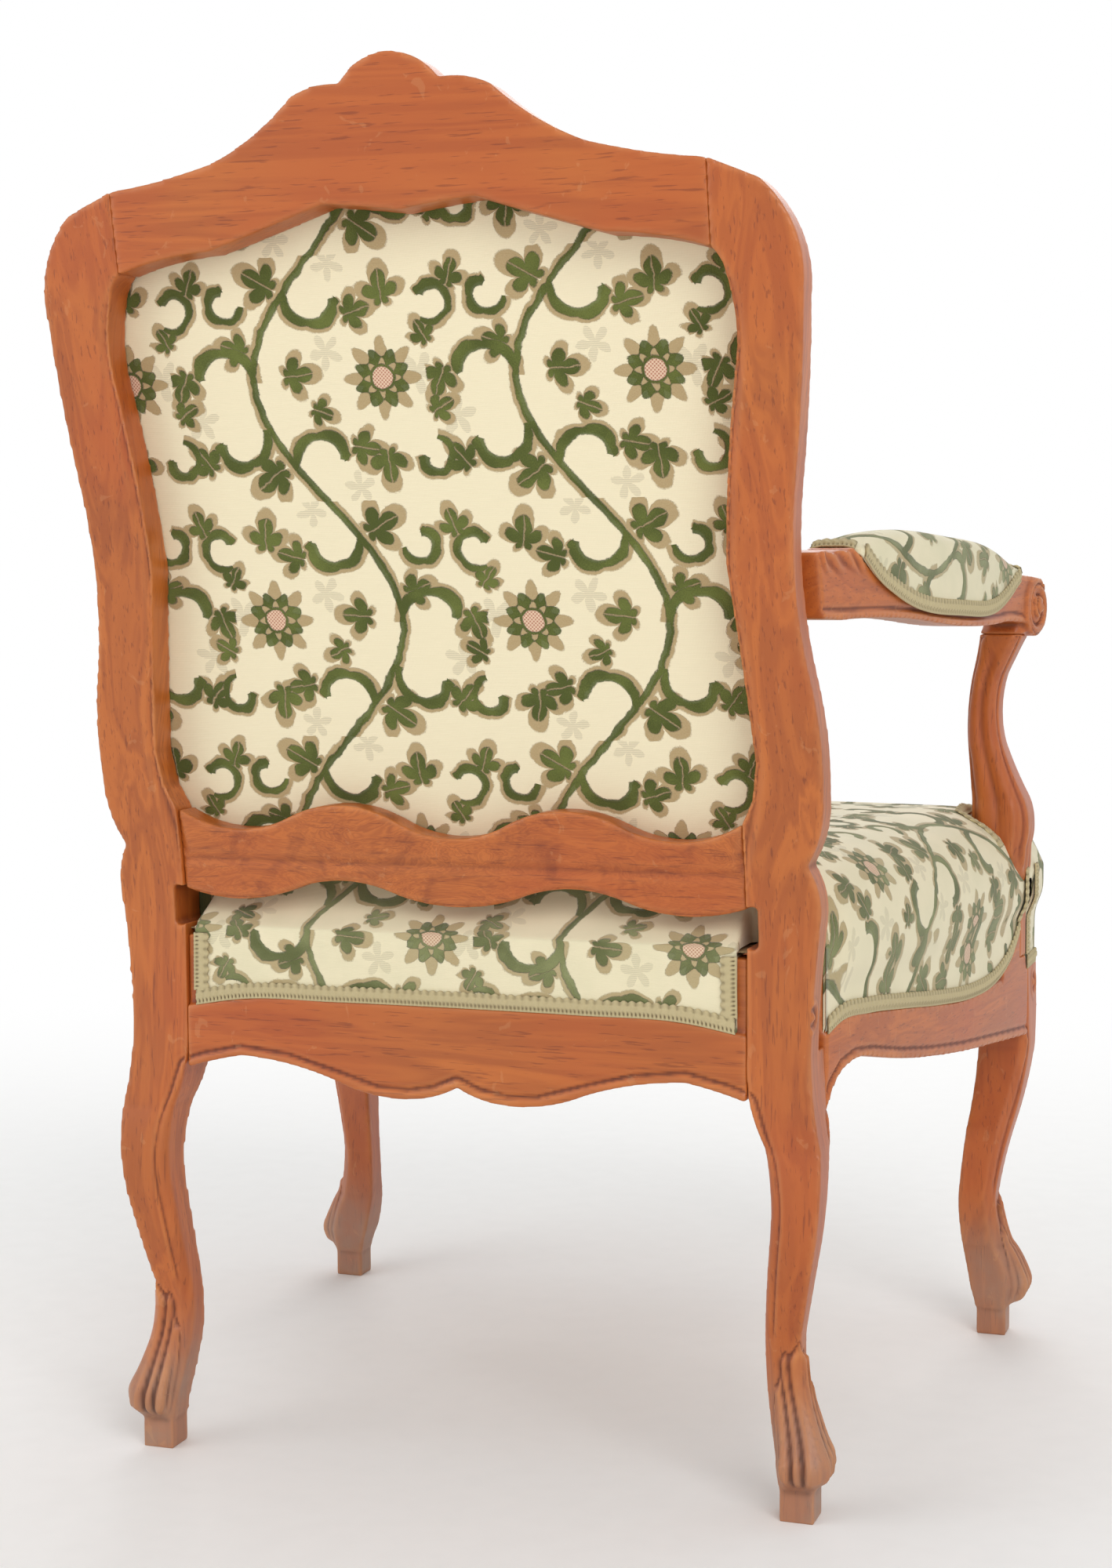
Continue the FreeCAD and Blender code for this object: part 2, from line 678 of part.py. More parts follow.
def crest_template(inset):
    top = crest_top_stretches(inset)
    under = crest_underside()
    left_end, right_end = top[0][0], top[-1][-1]
    return face_through(top + [
        [right_end, Vector(-JOINT_X, 0, OPEN_HIGH)],
        front_view(under[::-1]),
        [Vector(JOINT_X, 0, OPEN_HIGH), left_end],
    ])


def crest_rail():
    crest = moulded(crest_template).cut(REBATE)
    return crest.fuse([crest_tenon(), mirrored(crest_tenon())])


def lower_back_rail():
    top = both_ways([(POST_INNER, OPEN_LOW), (168, OPEN_LOW - 14.5), (126, OPEN_LOW - 5),
                     (84, OPEN_LOW + 5), (42, OPEN_LOW - 6), (0, OPEN_LOW - 17)])
    under = both_ways([(POST_INNER, OPEN_LOW - 60), (168, OPEN_LOW - 67), (130, OPEN_LOW - 60),
                       (92, OPEN_LOW - 51), (45, OPEN_LOW - 60), (0, OPEN_LOW - 67)])
    template = face_through([
        front_view(top),
        front_view([top[-1], under[-1]]),
        front_view(under[::-1]),
        front_view([under[0], top[0]]),
    ])
    near = size("lower_rail_recess")
    slab = back_slab(near, near + size("lower_rail_thickness"))
    rail = through_depth(template).common(slab)
    return rail.fuse([lower_rail_tenon(), mirrored(lower_rail_tenon())])


# Arms and their supports

ARM_HALF = size("arm_thickness") / 2
ARM_TOP = size("arm_height")
ARM_JOINT = size("arm_joint_height")
VOLUTE = size("volute_radius")
VOLUTE_Y = SUPPORT_Y + 43.0
VOLUTE_X = HALF_FRONT - 3.0
ARM_ROOT_X = OPENING_INSET + 20.0


def support_solid(grow=0.0):
    # Height, middle X and Y, half widths and share of the corners left.
    rows = (
        (RAIL_TOP + 6, SUPPORT_X - 5, SUPPORT_Y + 8.5, 16.0, 18.5, 0.85),
        (RAIL_TOP + 20, SUPPORT_X - 8, SUPPORT_Y + 17, 20.5, 24.0, 0.82),
        (RAIL_TOP + 36, SUPPORT_X - 9, SUPPORT_Y + 21, 22.5, 27.0, 0.8),
        (RAIL_TOP + 56, SUPPORT_X - 7.5, SUPPORT_Y + 20, 24.0, 28.0, 0.8),
        (RAIL_TOP + 76, SUPPORT_X - 9.5, SUPPORT_Y + 21, 22.0, 26.5, 0.8),
        (RAIL_TOP + 97, SUPPORT_X - 14.5, SUPPORT_Y + 26, 18.0, 24.0, 0.8),
        (RAIL_TOP + 122, SUPPORT_X - 19.5, SUPPORT_Y + 32, 14.5, 21.0, 0.8),
        (ARM_JOINT - 60, SUPPORT_X - 20.5, SUPPORT_Y + 35, 13.0, 19.5, 0.8),
        (ARM_JOINT - 33, SUPPORT_X - 15.5, SUPPORT_Y + 41, 13.5, 19.0, 0.8),
        (ARM_JOINT - 13, SUPPORT_X - 8, SUPPORT_Y + 45, 16.0, 20.5, 0.82),
        (ARM_JOINT, SUPPORT_X - 3.5, SUPPORT_Y + 47, 18.0, 22.0, 0.85),
    )
    rows = [(z, x, y, a + grow, b + grow, k) for z, x, y, a, b, k in rows]
    foot = box((SUPPORT_X - 9.5 - grow, SUPPORT_Y - 9.5 - grow, FRONT_TRIM + 12 - grow),
               (HALF_FRONT + (5 if grow else 0), SUPPORT_Y + 9.5 + grow, RAIL_TOP + 6))
    foot = foot.common(through_height(side_plan(0, 60), 0, RAIL_TOP + 6)) if not grow else foot
    return sawn(rows, (1, -1)).fuse(foot)


def arm_line(share):
    # Middle of the arm in plan, from the back (0) to the scroll (1).
    bow = 11.0 * math.sin(math.pi * min(share * 1.15, 1.0))
    return (ARM_ROOT_X + (VOLUTE_X - ARM_ROOT_X) * share + bow, 14 + (VOLUTE_Y - 14) * share)


def arm_plan(half):
    # Plan of the arm between two offsets from its middle line.
    middle = [arm_line(share / 10) for share in range(11)]
    outer = offset_line(middle, half)
    inner = offset_line(middle, -half)
    return face_through([plan_view(outer), plan_view([outer[-1], inner[-1]]),
                         plan_view(inner[::-1]), plan_view([inner[0], outer[0]])])


def along_arm(pairs):
    # Side-view points from shares of the arm's length and heights below its top.
    return [(arm_line(share)[1], ARM_TOP - drop) for share, drop in pairs]


def arm_top():
    return along_arm(((0, 0), (0.06, 3), (0.13, 0), (0.18, 12), (0.25, 19), (0.45, 22),
                      (0.7, 21.5), (0.88, 19), (1.0, 22)))


def arm_body(grow=0.0):
    top = arm_top()
    under = along_arm(((0, 47), (0.1, 49), (0.28, 49), (0.45, 54), (0.6, 58), (0.78, 58.5),
                       (0.88, 57), (1.0, 62)))
    top = [(y, z + grow) for y, z in top]
    under = [(y, z - grow) for y, z in under]
    profile = face_through([side_view(top), side_view([top[-1], under[-1]]),
                            side_view(under[::-1]), side_view([under[0], top[0]])])
    plan = arm_plan(ARM_HALF + grow)
    return through_height(plan, 0, 2 * ARM_TOP).common(through_width(profile))


def arm_across():
    (x0, y0), (x1, y1) = arm_line(0.96), arm_line(1.0)
    heading = Vector(x1 - x0, y1 - y0, 0).normalize()
    return Vector(-heading.y, heading.x, 0)


def volute():
    across = arm_across()
    centre = Vector(VOLUTE_X, VOLUTE_Y, ARM_TOP - 22 - VOLUTE)
    half = size("volute_width") / 2
    scroll = Part.makeCylinder(VOLUTE, 2 * half, centre - across * half, across)
    eye = Part.makeCylinder(VOLUTE * 0.36, 2 * half + 4, centre - across * (half + 2), across)
    ring = Part.makeCylinder(VOLUTE * 0.72, 2 * half, centre - across * half, across)
    core = Part.makeCylinder(VOLUTE * 0.72, 2 * half - 4, centre - across * (half - 2), across)
    return scroll.cut(ring.cut(core)).fuse(eye)


def arm_neck():
    return sawn((
        (ARM_JOINT, SUPPORT_X - 3.5, SUPPORT_Y + 47, 18.0, 22.0, 0.85),
        (ARM_JOINT + 22, VOLUTE_X - 1, VOLUTE_Y, 16.0, 19.0, 0.85),
    ), (1, -1))


def arm_dowel_ends():
    # Rear ends of the two dowels that hold an arm on its stile.
    start = -STOCK + rear_line(ARM_TOP - 24) + size("dowel_length") / 2
    return (("lower", Vector(ARM_ROOT_X, start, ARM_TOP - 36)),
            ("upper", Vector(ARM_ROOT_X, start, ARM_TOP - 14)))


def support_dowel_end():
    return Vector(SUPPORT_X - 3.5, SUPPORT_Y + 47, ARM_JOINT - size("dowel_length") / 2)


def dowel_hole(end, direction):
    radius = size("dowel_diameter") / 2 + PLAY
    return Part.makeCylinder(radius, size("dowel_length") + 2 * PLAY, end - direction * PLAY,
                             direction)


def arm_dowel_holes():
    return joined([dowel_hole(end, Vector(0, -1, 0)) for place, end in arm_dowel_ends()])


def arm_piece():
    arm = arm_body().fuse([volute(), arm_neck()])
    arm = arm.cut(back_slab(-80, STOCK)).cut(arm_dowel_holes())
    return arm.cut(dowel_hole(support_dowel_end(), Vector(0, 0, 1)))


def support_piece():
    support = support_solid().cut(dowel_hole(support_dowel_end(), Vector(0, 0, 1)))
    return support.cut(screw_hole(*support_screw_place()))


# Screws

def screw(head, direction, length):
    # A countersunk wood screw with its slotted head at "head", pointing along "direction".
    shank = size("screw_diameter") / 2
    body = Part.makeCylinder(shank, length, head, direction)
    body = body.fuse(Part.makeCone(2 * shank, shank, shank + 0.5, head, direction))
    slot = box((-2.5 * shank, -0.4, -0.4), (2.5 * shank, 0.4, 0.8))
    slot.Placement = Placement(head, Rotation(Vector(0, 0, 1), direction))
    return body.cut(slot)


def screw_hole(head, direction, length):
    # Clearance for a screw and for the driver behind its head.
    shank = size("screw_diameter") / 2
    hole = Part.makeCylinder(shank + PLAY, length + PLAY, head, direction)
    hole = hole.fuse(Part.makeCone(2 * shank + PLAY, shank + PLAY, shank + 0.5, head, direction))
    behind = head - direction * 15.0
    return hole.fuse(Part.makeCylinder(2 * shank + PLAY, 15.0, behind, direction))


def side_inner_at(depth):
    near, far = side_inner()
    return near[0] + (far[0] - near[0]) * (depth - near[1]) / (far[1] - near[1])


def support_screw_place():
    # Through the side rail from inside, into the foot of the arm support.
    head = Vector(side_inner_at(SUPPORT_Y) + 0.5, SUPPORT_Y, TENON_HEIGHT + 26)
    return head, Vector(1, 0, 0), 24.0


# Corner blocks under the seat

BLOCK_LOW = TENON_HEIGHT - size("block_height") / 2
BLOCK_HIGH = TENON_HEIGHT + size("block_height") / 2


def block_corners(rear):
    if rear:
        face = -size("rear_rail_thickness") - PLAY
        ends = [(POST_INNER - 49, face), (POST_INNER - 14, face)]
        reach = (face - 47, face - 87)
    else:
        face = -size("front_rail_inner") + PLAY
        ends = [(HALF_FRONT - 116, face), (HALF_FRONT - 76, face)]
        reach = (face + 53, face + 95)
    return ends + [(side_inner_at(depth) - PLAY, depth) for depth in reach]


def block_screw_places(rear):
    inner, near, far, last = block_corners(rear)
    inward = Vector(0, 1 if rear else -1, 0)
    length = size("screw_length")
    first_x = inner[0] + 18.0
    slope = (last[1] - inner[1]) / (last[0] - inner[0])
    first = Vector(first_x, inner[1] + slope * 18.0 + inward.y * 6.5, TENON_HEIGHT)
    second_y = (far[1] + last[1]) / 2
    second_x = inner[0] + (second_y - inner[1]) / slope + 6.5
    return (("rail", first, inward, length),
            ("side", Vector(second_x, second_y, TENON_HEIGHT), Vector(1, 0, 0), length))


def block_holes(rear):
    return joined([screw_hole(*place[1:]) for place in block_screw_places(rear)])


def corner_block(rear):
    return prism(block_corners(rear), BLOCK_LOW, BLOCK_HIGH).cut(block_holes(rear))


# Seat upholstery

def seat_side_x(depth):
    # Half width of the seat frame at a depth, along its bowed side rails.
    rear, middle, front = side_outer(0)
    share = (rear[1] - depth) / (rear[1] - front[1])
    bow = 4 * size("side_rail_bow") * share * (1 - share)
    return rear[0] + (front[0] - rear[0]) * share + bow


def seat_plan(grow, rear):
    # Level outline of the seat, grown past the frame and with its rear edge at a given depth.
    outer = HALF_FRONT + grow
    edge = LEG_FACE - grow
    middle = (rear + LEG_BACK) / 2
    side = [(seat_side_x(rear) + grow, rear), (seat_side_x(middle) + grow, middle),
            (outer, LEG_BACK)]
    return face_through([plan_view(part) for part in (
        [(-side[0][0], rear), side[0]],
        side,
        [(outer, LEG_BACK), (outer, edge)],
        [(outer, edge), (0, SEAT_FRONT - grow), (-outer, edge)],
        [(-outer, edge), (-outer, LEG_BACK)],
        [(-x, y) for x, y in reversed(side)],
    )])


def quarter_round(edge, low, high, inward):
    # Three points of the rounded shoulder of a cushion, from its side up to its top.
    reach = high - low
    turn = 1 - math.sqrt(0.5)
    return [(edge, low), (edge + inward * 1.4 * reach * turn, high - reach * turn),
            (edge + inward * 1.4 * reach, high)]


def seat_form(inside, start=None):
    # The crowned cushion, or one a constant distance inside it: a plan outline under a roof
    # that is arched from front to back, with rounded shoulders along the two sides.
    bulge = size("cover_bulge") - inside
    flush = 0.6 - size("cover_rebate") + COVER - inside
    crown = size("seat_crown") - inside
    low = RAIL_TOP - 21 + inside
    waist = RAIL_TOP + 14
    eaves = crown - 13.0
    front = SEAT_FRONT - bulge - 1.0
    shoulder = quarter_round(front, waist, eaves, 1)
    rear = [(-70.0 - inside, eaves - 4), (-44.0 - inside, eaves - 22), (-28.0 - inside, waist + 10),
            (flush, RAIL_TOP + 9)]
    roof = through_width(face_through([side_view(part) for part in (
        [(flush, low - 60), (front, low - 60)], [(front, low - 60), shoulder[0]], shoulder,
        [shoulder[-1], (-300.0, crown), rear[0]], [rear[0], rear[1], rear[2]],
        [rear[2], rear[3]], [rear[3], (flush, low - 60)])]))
    top = through_height(seat_plan(bulge, flush), low if start is None else start, crown + 1)
    top = top.common(roof)
    near, middle, far = side_outer(-bulge - size("side_rail_bow"))
    along = Vector(far[0] - near[0], far[1] - near[1], 0)
    across = Vector(-along.y, along.x, 0).normalize()
    edge = quarter_round(0.0, waist, crown - 9.0, 1)
    profile = [[(0, 0), edge[0]], edge, [edge[-1], (260.0, crown + 2)],
               [(260.0, crown + 2), (2 * FAR, crown + 2)], [(2 * FAR, crown + 2), (2 * FAR, 0)],
               [(2 * FAR, 0), (0, 0)]]
    foot = Vector(near[0], near[1], 0) - along * 2
    side = face_through([[foot - across * u + Vector(0, 0, z) for u, z in part]
                         for part in profile]).extrude(along * 5)
    top = top.common(side).common(mirrored(side))
    if start is not None:
        return top
    return top.fuse(through_height(seat_plan(flush, flush), FRONT_TRIM - 8 - inside, low))


def round_posts():
    # Clearance in the upholstery round the rear posts and the arm supports.
    near = POST_INNER - SOFT
    slot = box((near, -STOCK - SOFT, 0), (FAR, FAR, RAIL_TOP + 7))
    wide = box((near - 6.7, -STOCK - SOFT, RAIL_TOP + 7), (FAR, FAR, ARM_JOINT))
    half_x, half_y, cut = 24.0 + SOFT, 28.0 + SOFT, 11.0
    corners = [(half_x, half_y - cut), (half_x - cut, half_y)]
    corners += [(-x, y) for x, y in reversed(corners)]
    corners += [(-x, -y) for x, y in corners]
    middle_x, middle_y = SUPPORT_X - 8.5, SUPPORT_Y + 20.0
    socket = prism([(middle_x + x, middle_y + y) for x, y in corners], RAIL_TOP + 6 - SOFT,
                   ARM_JOINT)
    half = slot.fuse([wide, socket])
    return half.fuse(mirrored(half))


def seat_cover():
    outer = seat_form(0.0)
    hollow = seat_form(COVER)
    floor = box((-FAR, -FAR, -FAR), (FAR, FAR, FRONT_TRIM - 7.9))
    cover = outer.cut(hollow).common(side_region()).cut(floor)
    below = rear_trim_line()
    first, last = below[0], below[-1]
    outline = [below, [last, (last[0] - 60, last[1])], [(last[0] - 60, last[1]),
               (last[0] - 60, 0)], [(last[0] - 60, 0), (first[0] + 60, 0)],
               [(first[0] + 60, 0), (first[0] + 60, first[1])],
               [(first[0] + 60, first[1]), first]]
    panel = face_through([front_view(points) for points in outline])
    rear = panel.translated(Vector(0, -10, 0)).extrude(Vector(0, 70, 0))
    return cover.cut(rear).cut(tongue(SOFT)).cut(round_posts())


def seat_stuffing():
    return seat_form(COVER + SOFT, BURLAP_TOP + SOFT).cut(round_posts())


STRAP = size("strap_thickness")
WEB_LOW = RAIL_TOP + 0.1
CROSS_OVER = WEB_LOW + STRAP + 0.3
CROSS_UNDER = WEB_LOW - STRAP - 0.3
BURLAP_LOW = CROSS_OVER + STRAP + SOFT
BURLAP_TOP = BURLAP_LOW + 0.8
LONG_STRAPS = 5
LONG_PITCH = 90.0
CROSS_DEPTHS = (-110.0, -220.0, -330.0, -440.0)


def burlap():
    flat = through_height(seat_plan(-9.0, -9.0), BURLAP_LOW, BURLAP_TOP)
    return flat.cut(round_posts())


def cross_strap(depth, first_over):
    # One strap woven over and under the lengthwise ones, its ends on the side rails.
    half = size("strap_width") / 2
    reach = seat_side_x(depth + half) - 9.0
    span = LONG_PITCH * (LONG_STRAPS - 1) / 2
    path = [(-reach, WEB_LOW), (-side_inner_at(depth) + 4, WEB_LOW)]
    for count in range(LONG_STRAPS):
        middle = -span + count * LONG_PITCH
        level = CROSS_OVER if (count % 2 == 0) == first_over else CROSS_UNDER
        path += [(middle - half - 4, level), (middle + half + 4, level)]
    path += [(-x, z) for x, z in reversed(path[:2])]
    outline = path + [(x, z + STRAP) for x, z in reversed(path)]
    face = Part.Face(Part.makePolygon(front_view(outline + outline[:1])))
    return face.translated(Vector(0, depth - half, 0)).extrude(Vector(0, 2 * half, 0))


TRIM = size("trim_width")
TRIM_IN = size("cover_rebate") - COVER - 0.7
TRIM_OUT = size("trim_thickness") - TRIM_IN


def band_between(line, other, view):
    return face_through([view(line), view([line[-1], other[-1]]), view(other[::-1]),
                         view([other[0], line[0]])])


def seat_trim_rear():
    line = rear_trim_line()
    band = band_between(line, [(x, z + TRIM) for x, z in line], front_view)
    strip = band.translated(Vector(0, -TRIM_IN, 0)).extrude(Vector(0, TRIM_IN + TRIM_OUT, 0))
    return strip.common(box((-POST_INNER + SOFT, -FAR, 0), (POST_INNER - SOFT, FAR, FAR)))


def seat_trim_side():
    # Along the lower edge of the cover and up the curved edge in front of it.
    strip = through_height(side_plan(-TRIM_OUT, TRIM_IN), 200, RAIL_TOP - 22)
    line = trim_line() + [(SUPPORT_Y + 45, FRONT_TRIM + 0.5)]
    low = band_between(line, offset_line(line, -TRIM), side_view)
    rise = tongue(SOFT + TRIM).cut(tongue(SOFT)).common(box((-FAR, SUPPORT_Y, 0), (FAR, FAR, FAR)))
    rise = rise.common(side_region())
    return strip.common(through_width(low).fuse(rise)).cut(tongue(SOFT))


def seat_trim_front():
    ring = seat_plan(TRIM_OUT, 0).cut(seat_plan(-TRIM_IN, -TRIM_IN))
    ring = through_height(ring, FRONT_TRIM, FRONT_TRIM + TRIM)
    return ring.common(box((-FAR, -FAR, 0), (FAR, SUPPORT_Y - 16.0, FAR)))


# Back upholstery

def back_layer(grow, near, far):
    face = Part.Face(opening_wire(grow))
    return through_depth(face).common(back_slab(near, far))


FLOOR = size("rebate_depth")
PANEL_FAR = FLOOR + SOFT + 1.5
UPRIGHT_FAR = PANEL_FAR + SOFT + STRAP
CROSSING_FAR = UPRIGHT_FAR + SOFT + STRAP
BACK_GROW = size("rebate_width") - 1.0


def back_straps(upright):
    half = size("strap_width") / 2
    middle = (OPEN_LOW + OPEN_HIGH) / 2
    straps = []
    for step in (-1, 0, 1):
        if upright:
            low, high = (step * 120.0 - half, -FAR, 0), (step * 120.0 + half, FAR, FAR)
        else:
            low = (-FAR, -FAR, middle + step * 110.0 - half)
            high = (FAR, FAR, middle + step * 110.0 + half)
        straps.append(box(low, high))
    near = PANEL_FAR + SOFT if upright else UPRIGHT_FAR + SOFT
    layer = back_layer(BACK_GROW - 3, near, near + STRAP)
    return Part.makeCompound([layer.common(strap) for strap in straps])


def back_form(grow, start, lift):
    # The opening's outline under a roof that is arched both across and up the raked back.
    half = OPENING_INSET + grow + 6
    low = OPEN_LOW - 38 - grow
    high = OPEN_HIGH + 46 + grow
    edge = STOCK + lift
    top = edge + size("back_crown")
    heart = (low + high) / 2

    def on_back(x, height, depth):
        return Vector(x, rear_line(height) - depth / math.cos(RAKE), height)

    rise = face_through([
        [on_back(-FAR, low, start), on_back(-FAR, low, edge)],
        [on_back(-FAR, low, edge), on_back(-FAR, heart, top), on_back(-FAR, high, edge)],
        [on_back(-FAR, high, edge), on_back(-FAR, high, start)],
        [on_back(-FAR, high, start), on_back(-FAR, low, start)],
    ]).extrude(Vector(2 * FAR, 0, 0))
    spread = face_through([
        [on_back(-half, 0, start), on_back(-half, 0, edge)],
        [on_back(-half, 0, edge), on_back(0, 0, top), on_back(half, 0, edge)],
        [on_back(half, 0, edge), on_back(half, 0, start)],
        [on_back(half, 0, start), on_back(-half, 0, start)],
    ]).extrude(Vector(0, LEAN, 1) * FAR)
    return through_depth(Part.Face(opening_wire(grow))).common(rise).common(spread)


def back_stuffing():
    return back_form(BACK_GROW - COVER - SOFT, CROSSING_FAR + SOFT, 0.0)


def back_cover():
    outer = back_form(BACK_GROW, PANEL_FAR + SOFT, COVER + SOFT)
    return outer.cut(back_form(BACK_GROW - COVER, PANEL_FAR - 1, SOFT))


def back_trim():
    near = STOCK + 0.1
    far = near + size("trim_thickness")
    ring = back_layer(BACK_GROW + 0.9 + TRIM - 1, near, far).cut(
        back_layer(BACK_GROW + 0.9, near - 1, far + 1))
    return ring.common(box((-FAR, -FAR, OPEN_LOW + 12), (FAR, FAR, FAR)))


# Arm pads

def arm_middle_at(depth):
    return arm_line((14 - depth) / (14 - VOLUTE_Y))[0]


def pad_rows():
    # Depth, height of the crown and of the lower edge, from the back to the front of a pad.
    rises = ((-26, 2.5, 0.2), (-62, 10.5, -2), (-105, 14.5, -34), (-229, 12, -52),
             (-330, 4, -48), (-398, -14, -18))
    scale = size("pad_height") / 34.0
    return [(depth, ARM_TOP + max(crown, crown * scale), ARM_TOP + low)
            for depth, crown, low in rises]


def pad_form(half, inside, drop):
    # Sections across the arm: a flat base, upright sides and a rounded top.
    rows = pad_rows()
    wires = []
    for index, (depth, crown, low) in enumerate(rows):
        if index == 0:
            depth -= inside
        if index == len(rows) - 1:
            depth += inside
        middle = arm_middle_at(depth)
        base = low - drop
        top = max(crown - inside, base + 1.6)
        shoulder = max(base + 0.6, top - 9.0)
        corners = [(half, base), (half, shoulder), (0.55 * half, top)]
        outline = corners + [(-x, z) for x, z in reversed(corners)]
        points = [Vector(middle + x, depth, z) for x, z in outline]
        wires.append(Part.makePolygon(points + points[:1]))
    return loft(wires)


PAD_HALF = ARM_HALF + SOFT + COVER


def pad_cover():
    shell = pad_form(PAD_HALF, 0.0, 0.0).cut(pad_form(PAD_HALF - COVER, COVER, 5.0))
    return shell.cut(arm_body(SOFT / 2))


def pad_stuffing():
    wood = [(y, z + SOFT) for y, z in arm_top()]
    above = through_width(face_through([side_view(part) for part in above_line(wood, FAR)]))
    return pad_form(ARM_HALF - 0.8, COVER + 1.0, 0.0).common(above)


def pad_trim():
    rows = pad_rows()
    line = [(depth, low) for depth, crown, low in rows if low < ARM_TOP]
    upper = [(y, min(z, ARM_TOP + 12)) for y, z in offset_line(line, -TRIM)]
    band = through_width(band_between(line, upper, side_view))
    near, far = PAD_HALF + 0.4, PAD_HALF + size("trim_thickness")
    strips = through_height(arm_plan(far), 0, FAR).cut(through_height(arm_plan(near), -1, FAR + 1))
    return band.common(strips)


# Every piece, with the right-hand ones mirrored from the left

def add_dowel(name, end, direction):
    dowel = doc.addObject("Part::Cylinder", name)
    dowel.Label = name
    dowel.setExpression("Radius", "Dimensions.dowel_diameter / 2")
    dowel.setExpression("Height", "Dimensions.dowel_length")
    dowel.Placement = Placement(end + SHIFT, Rotation(Vector(0, 0, 1), direction))
    finished.append(dowel)


def add_long_straps():
    body = doc.addObject("PartDesign::Body", "seat_webbing_lengthwise")
    body.Label = "seat_webbing_lengthwise"
    plane = [item for item in body.Origin.OriginFeatures if item.Role == "XY_Plane"][0]
    sketch = body.newObject("Sketcher::SketchObject", "strap_outline")
    sketch.AttachmentSupport = [(plane, "")]
    sketch.MapMode = "FlatFace"
    half = size("strap_width") / 2
    near, far = -9.0, SEAT_FRONT + 26.0
    first = -LONG_PITCH * (LONG_STRAPS - 1) / 2
    corners = plan_view([(first - half, far), (first + half, far), (first + half, near),
                         (first - half, near)])
    for start, end in zip(corners, corners[1:] + corners[:1]):
        sketch.addGeometry(Part.LineSegment(start, end), False)
    pad = body.newObject("PartDesign::Pad", "strap")
    pad.Profile = sketch
    pad.setExpression("Length", "Dimensions.strap_thickness")
    pattern = body.newObject("PartDesign::LinearPattern", "straps")
    pattern.Originals = [pad]
    pattern.Direction = (sketch, ["H_Axis"])
    pattern.Length = LONG_PITCH * (LONG_STRAPS - 1)
    pattern.Occurrences = LONG_STRAPS
    body.Tip = pattern
    body.Placement = Placement(SHIFT + Vector(0, 0, WEB_LOW), Rotation())
    finished.append(body)


WHOLE = (
    ("crest_rail", crest_rail),
    ("lower_back_rail", lower_back_rail),
    ("rear_seat_rail", rear_seat_rail),
    ("front_seat_rail", front_seat_rail),
    ("seat_burlap", burlap),
    ("seat_stuffing", seat_stuffing),
    ("seat_cover", seat_cover),
    ("seat_trim_rear", seat_trim_rear),
    ("seat_trim_front", seat_trim_front),
    ("outside_back_panel", lambda: back_layer(BACK_GROW - 3, FLOOR + SOFT, PANEL_FAR)),
    ("back_webbing_upright", lambda: back_straps(True)),
    ("back_webbing_crossing", lambda: back_straps(False)),
    ("back_stuffing", back_stuffing),
    ("inside_back_cover", back_cover),
    ("inside_back_trim", back_trim),
    ("seat_webbing_crosswise", lambda: Part.makeCompound(
        [cross_strap(depth, index % 2 == 0) for index, depth in enumerate(CROSS_DEPTHS)])),
)

PAIRED = (
    ("rear_post", rear_post),
    ("side_seat_rail", side_seat_rail),
    ("front_leg", front_leg_piece),
    ("arm", arm_piece),
    ("arm_support", support_piece),
    ("rear_corner_block", lambda: corner_block(True)),
    ("front_corner_block", lambda: corner_block(False)),
    ("arm_pad_stuffing", pad_stuffing),
    ("arm_pad_cover", pad_cover),
    ("arm_pad_trim", pad_trim),
    ("seat_trim_side", seat_trim_side),
)


def build():
    for name, make in WHOLE:
        add_piece(name, make())
    for name, make in PAIRED:
        shape = make()
        for side, sign in SIDES:
            add_piece("%s_%s" % (name, side), on_side(shape, sign))
    screws = [screw(*support_screw_place())]
    for rear in (True, False):
        screws += [screw(*place[1:]) for place in block_screw_places(rear)]
    for side, sign in SIDES:
        add_piece("screws_%s" % side, Part.makeCompound([on_side(one, sign) for one in screws]))
    for side, sign in SIDES:
        across = Vector(sign, 1, 1)
        for place, end in arm_dowel_ends():
            spot = Vector(end.x * sign, end.y, end.z)
            add_dowel("arm_dowel_%s_%s" % (place, side), spot, Vector(0, -1, 0))
        end = support_dowel_end()
        add_dowel("support_dowel_%s" % side, Vector(end.x * sign, end.y, end.z), Vector(0, 0, 1))
    add_long_straps()


def check_and_export():
    doc.recompute()
    for item in doc.Objects:
        if any(word in ("Invalid", "Error") for word in item.State):
            raise RuntimeError("%s did not compute" % item.Label)
    os.makedirs("parts", exist_ok=True)
    for piece in finished:
        if piece.Shape.isNull() or not piece.Shape.isValid():
            raise RuntimeError("%s has no valid shape" % piece.Label)
        piece.Shape.exportStep("parts/%s.step" % piece.Label)


build()
check_and_export()
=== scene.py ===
"""Open armchair: carved walnut frame, padded seat, back and arms under a figured velvet."""

import math

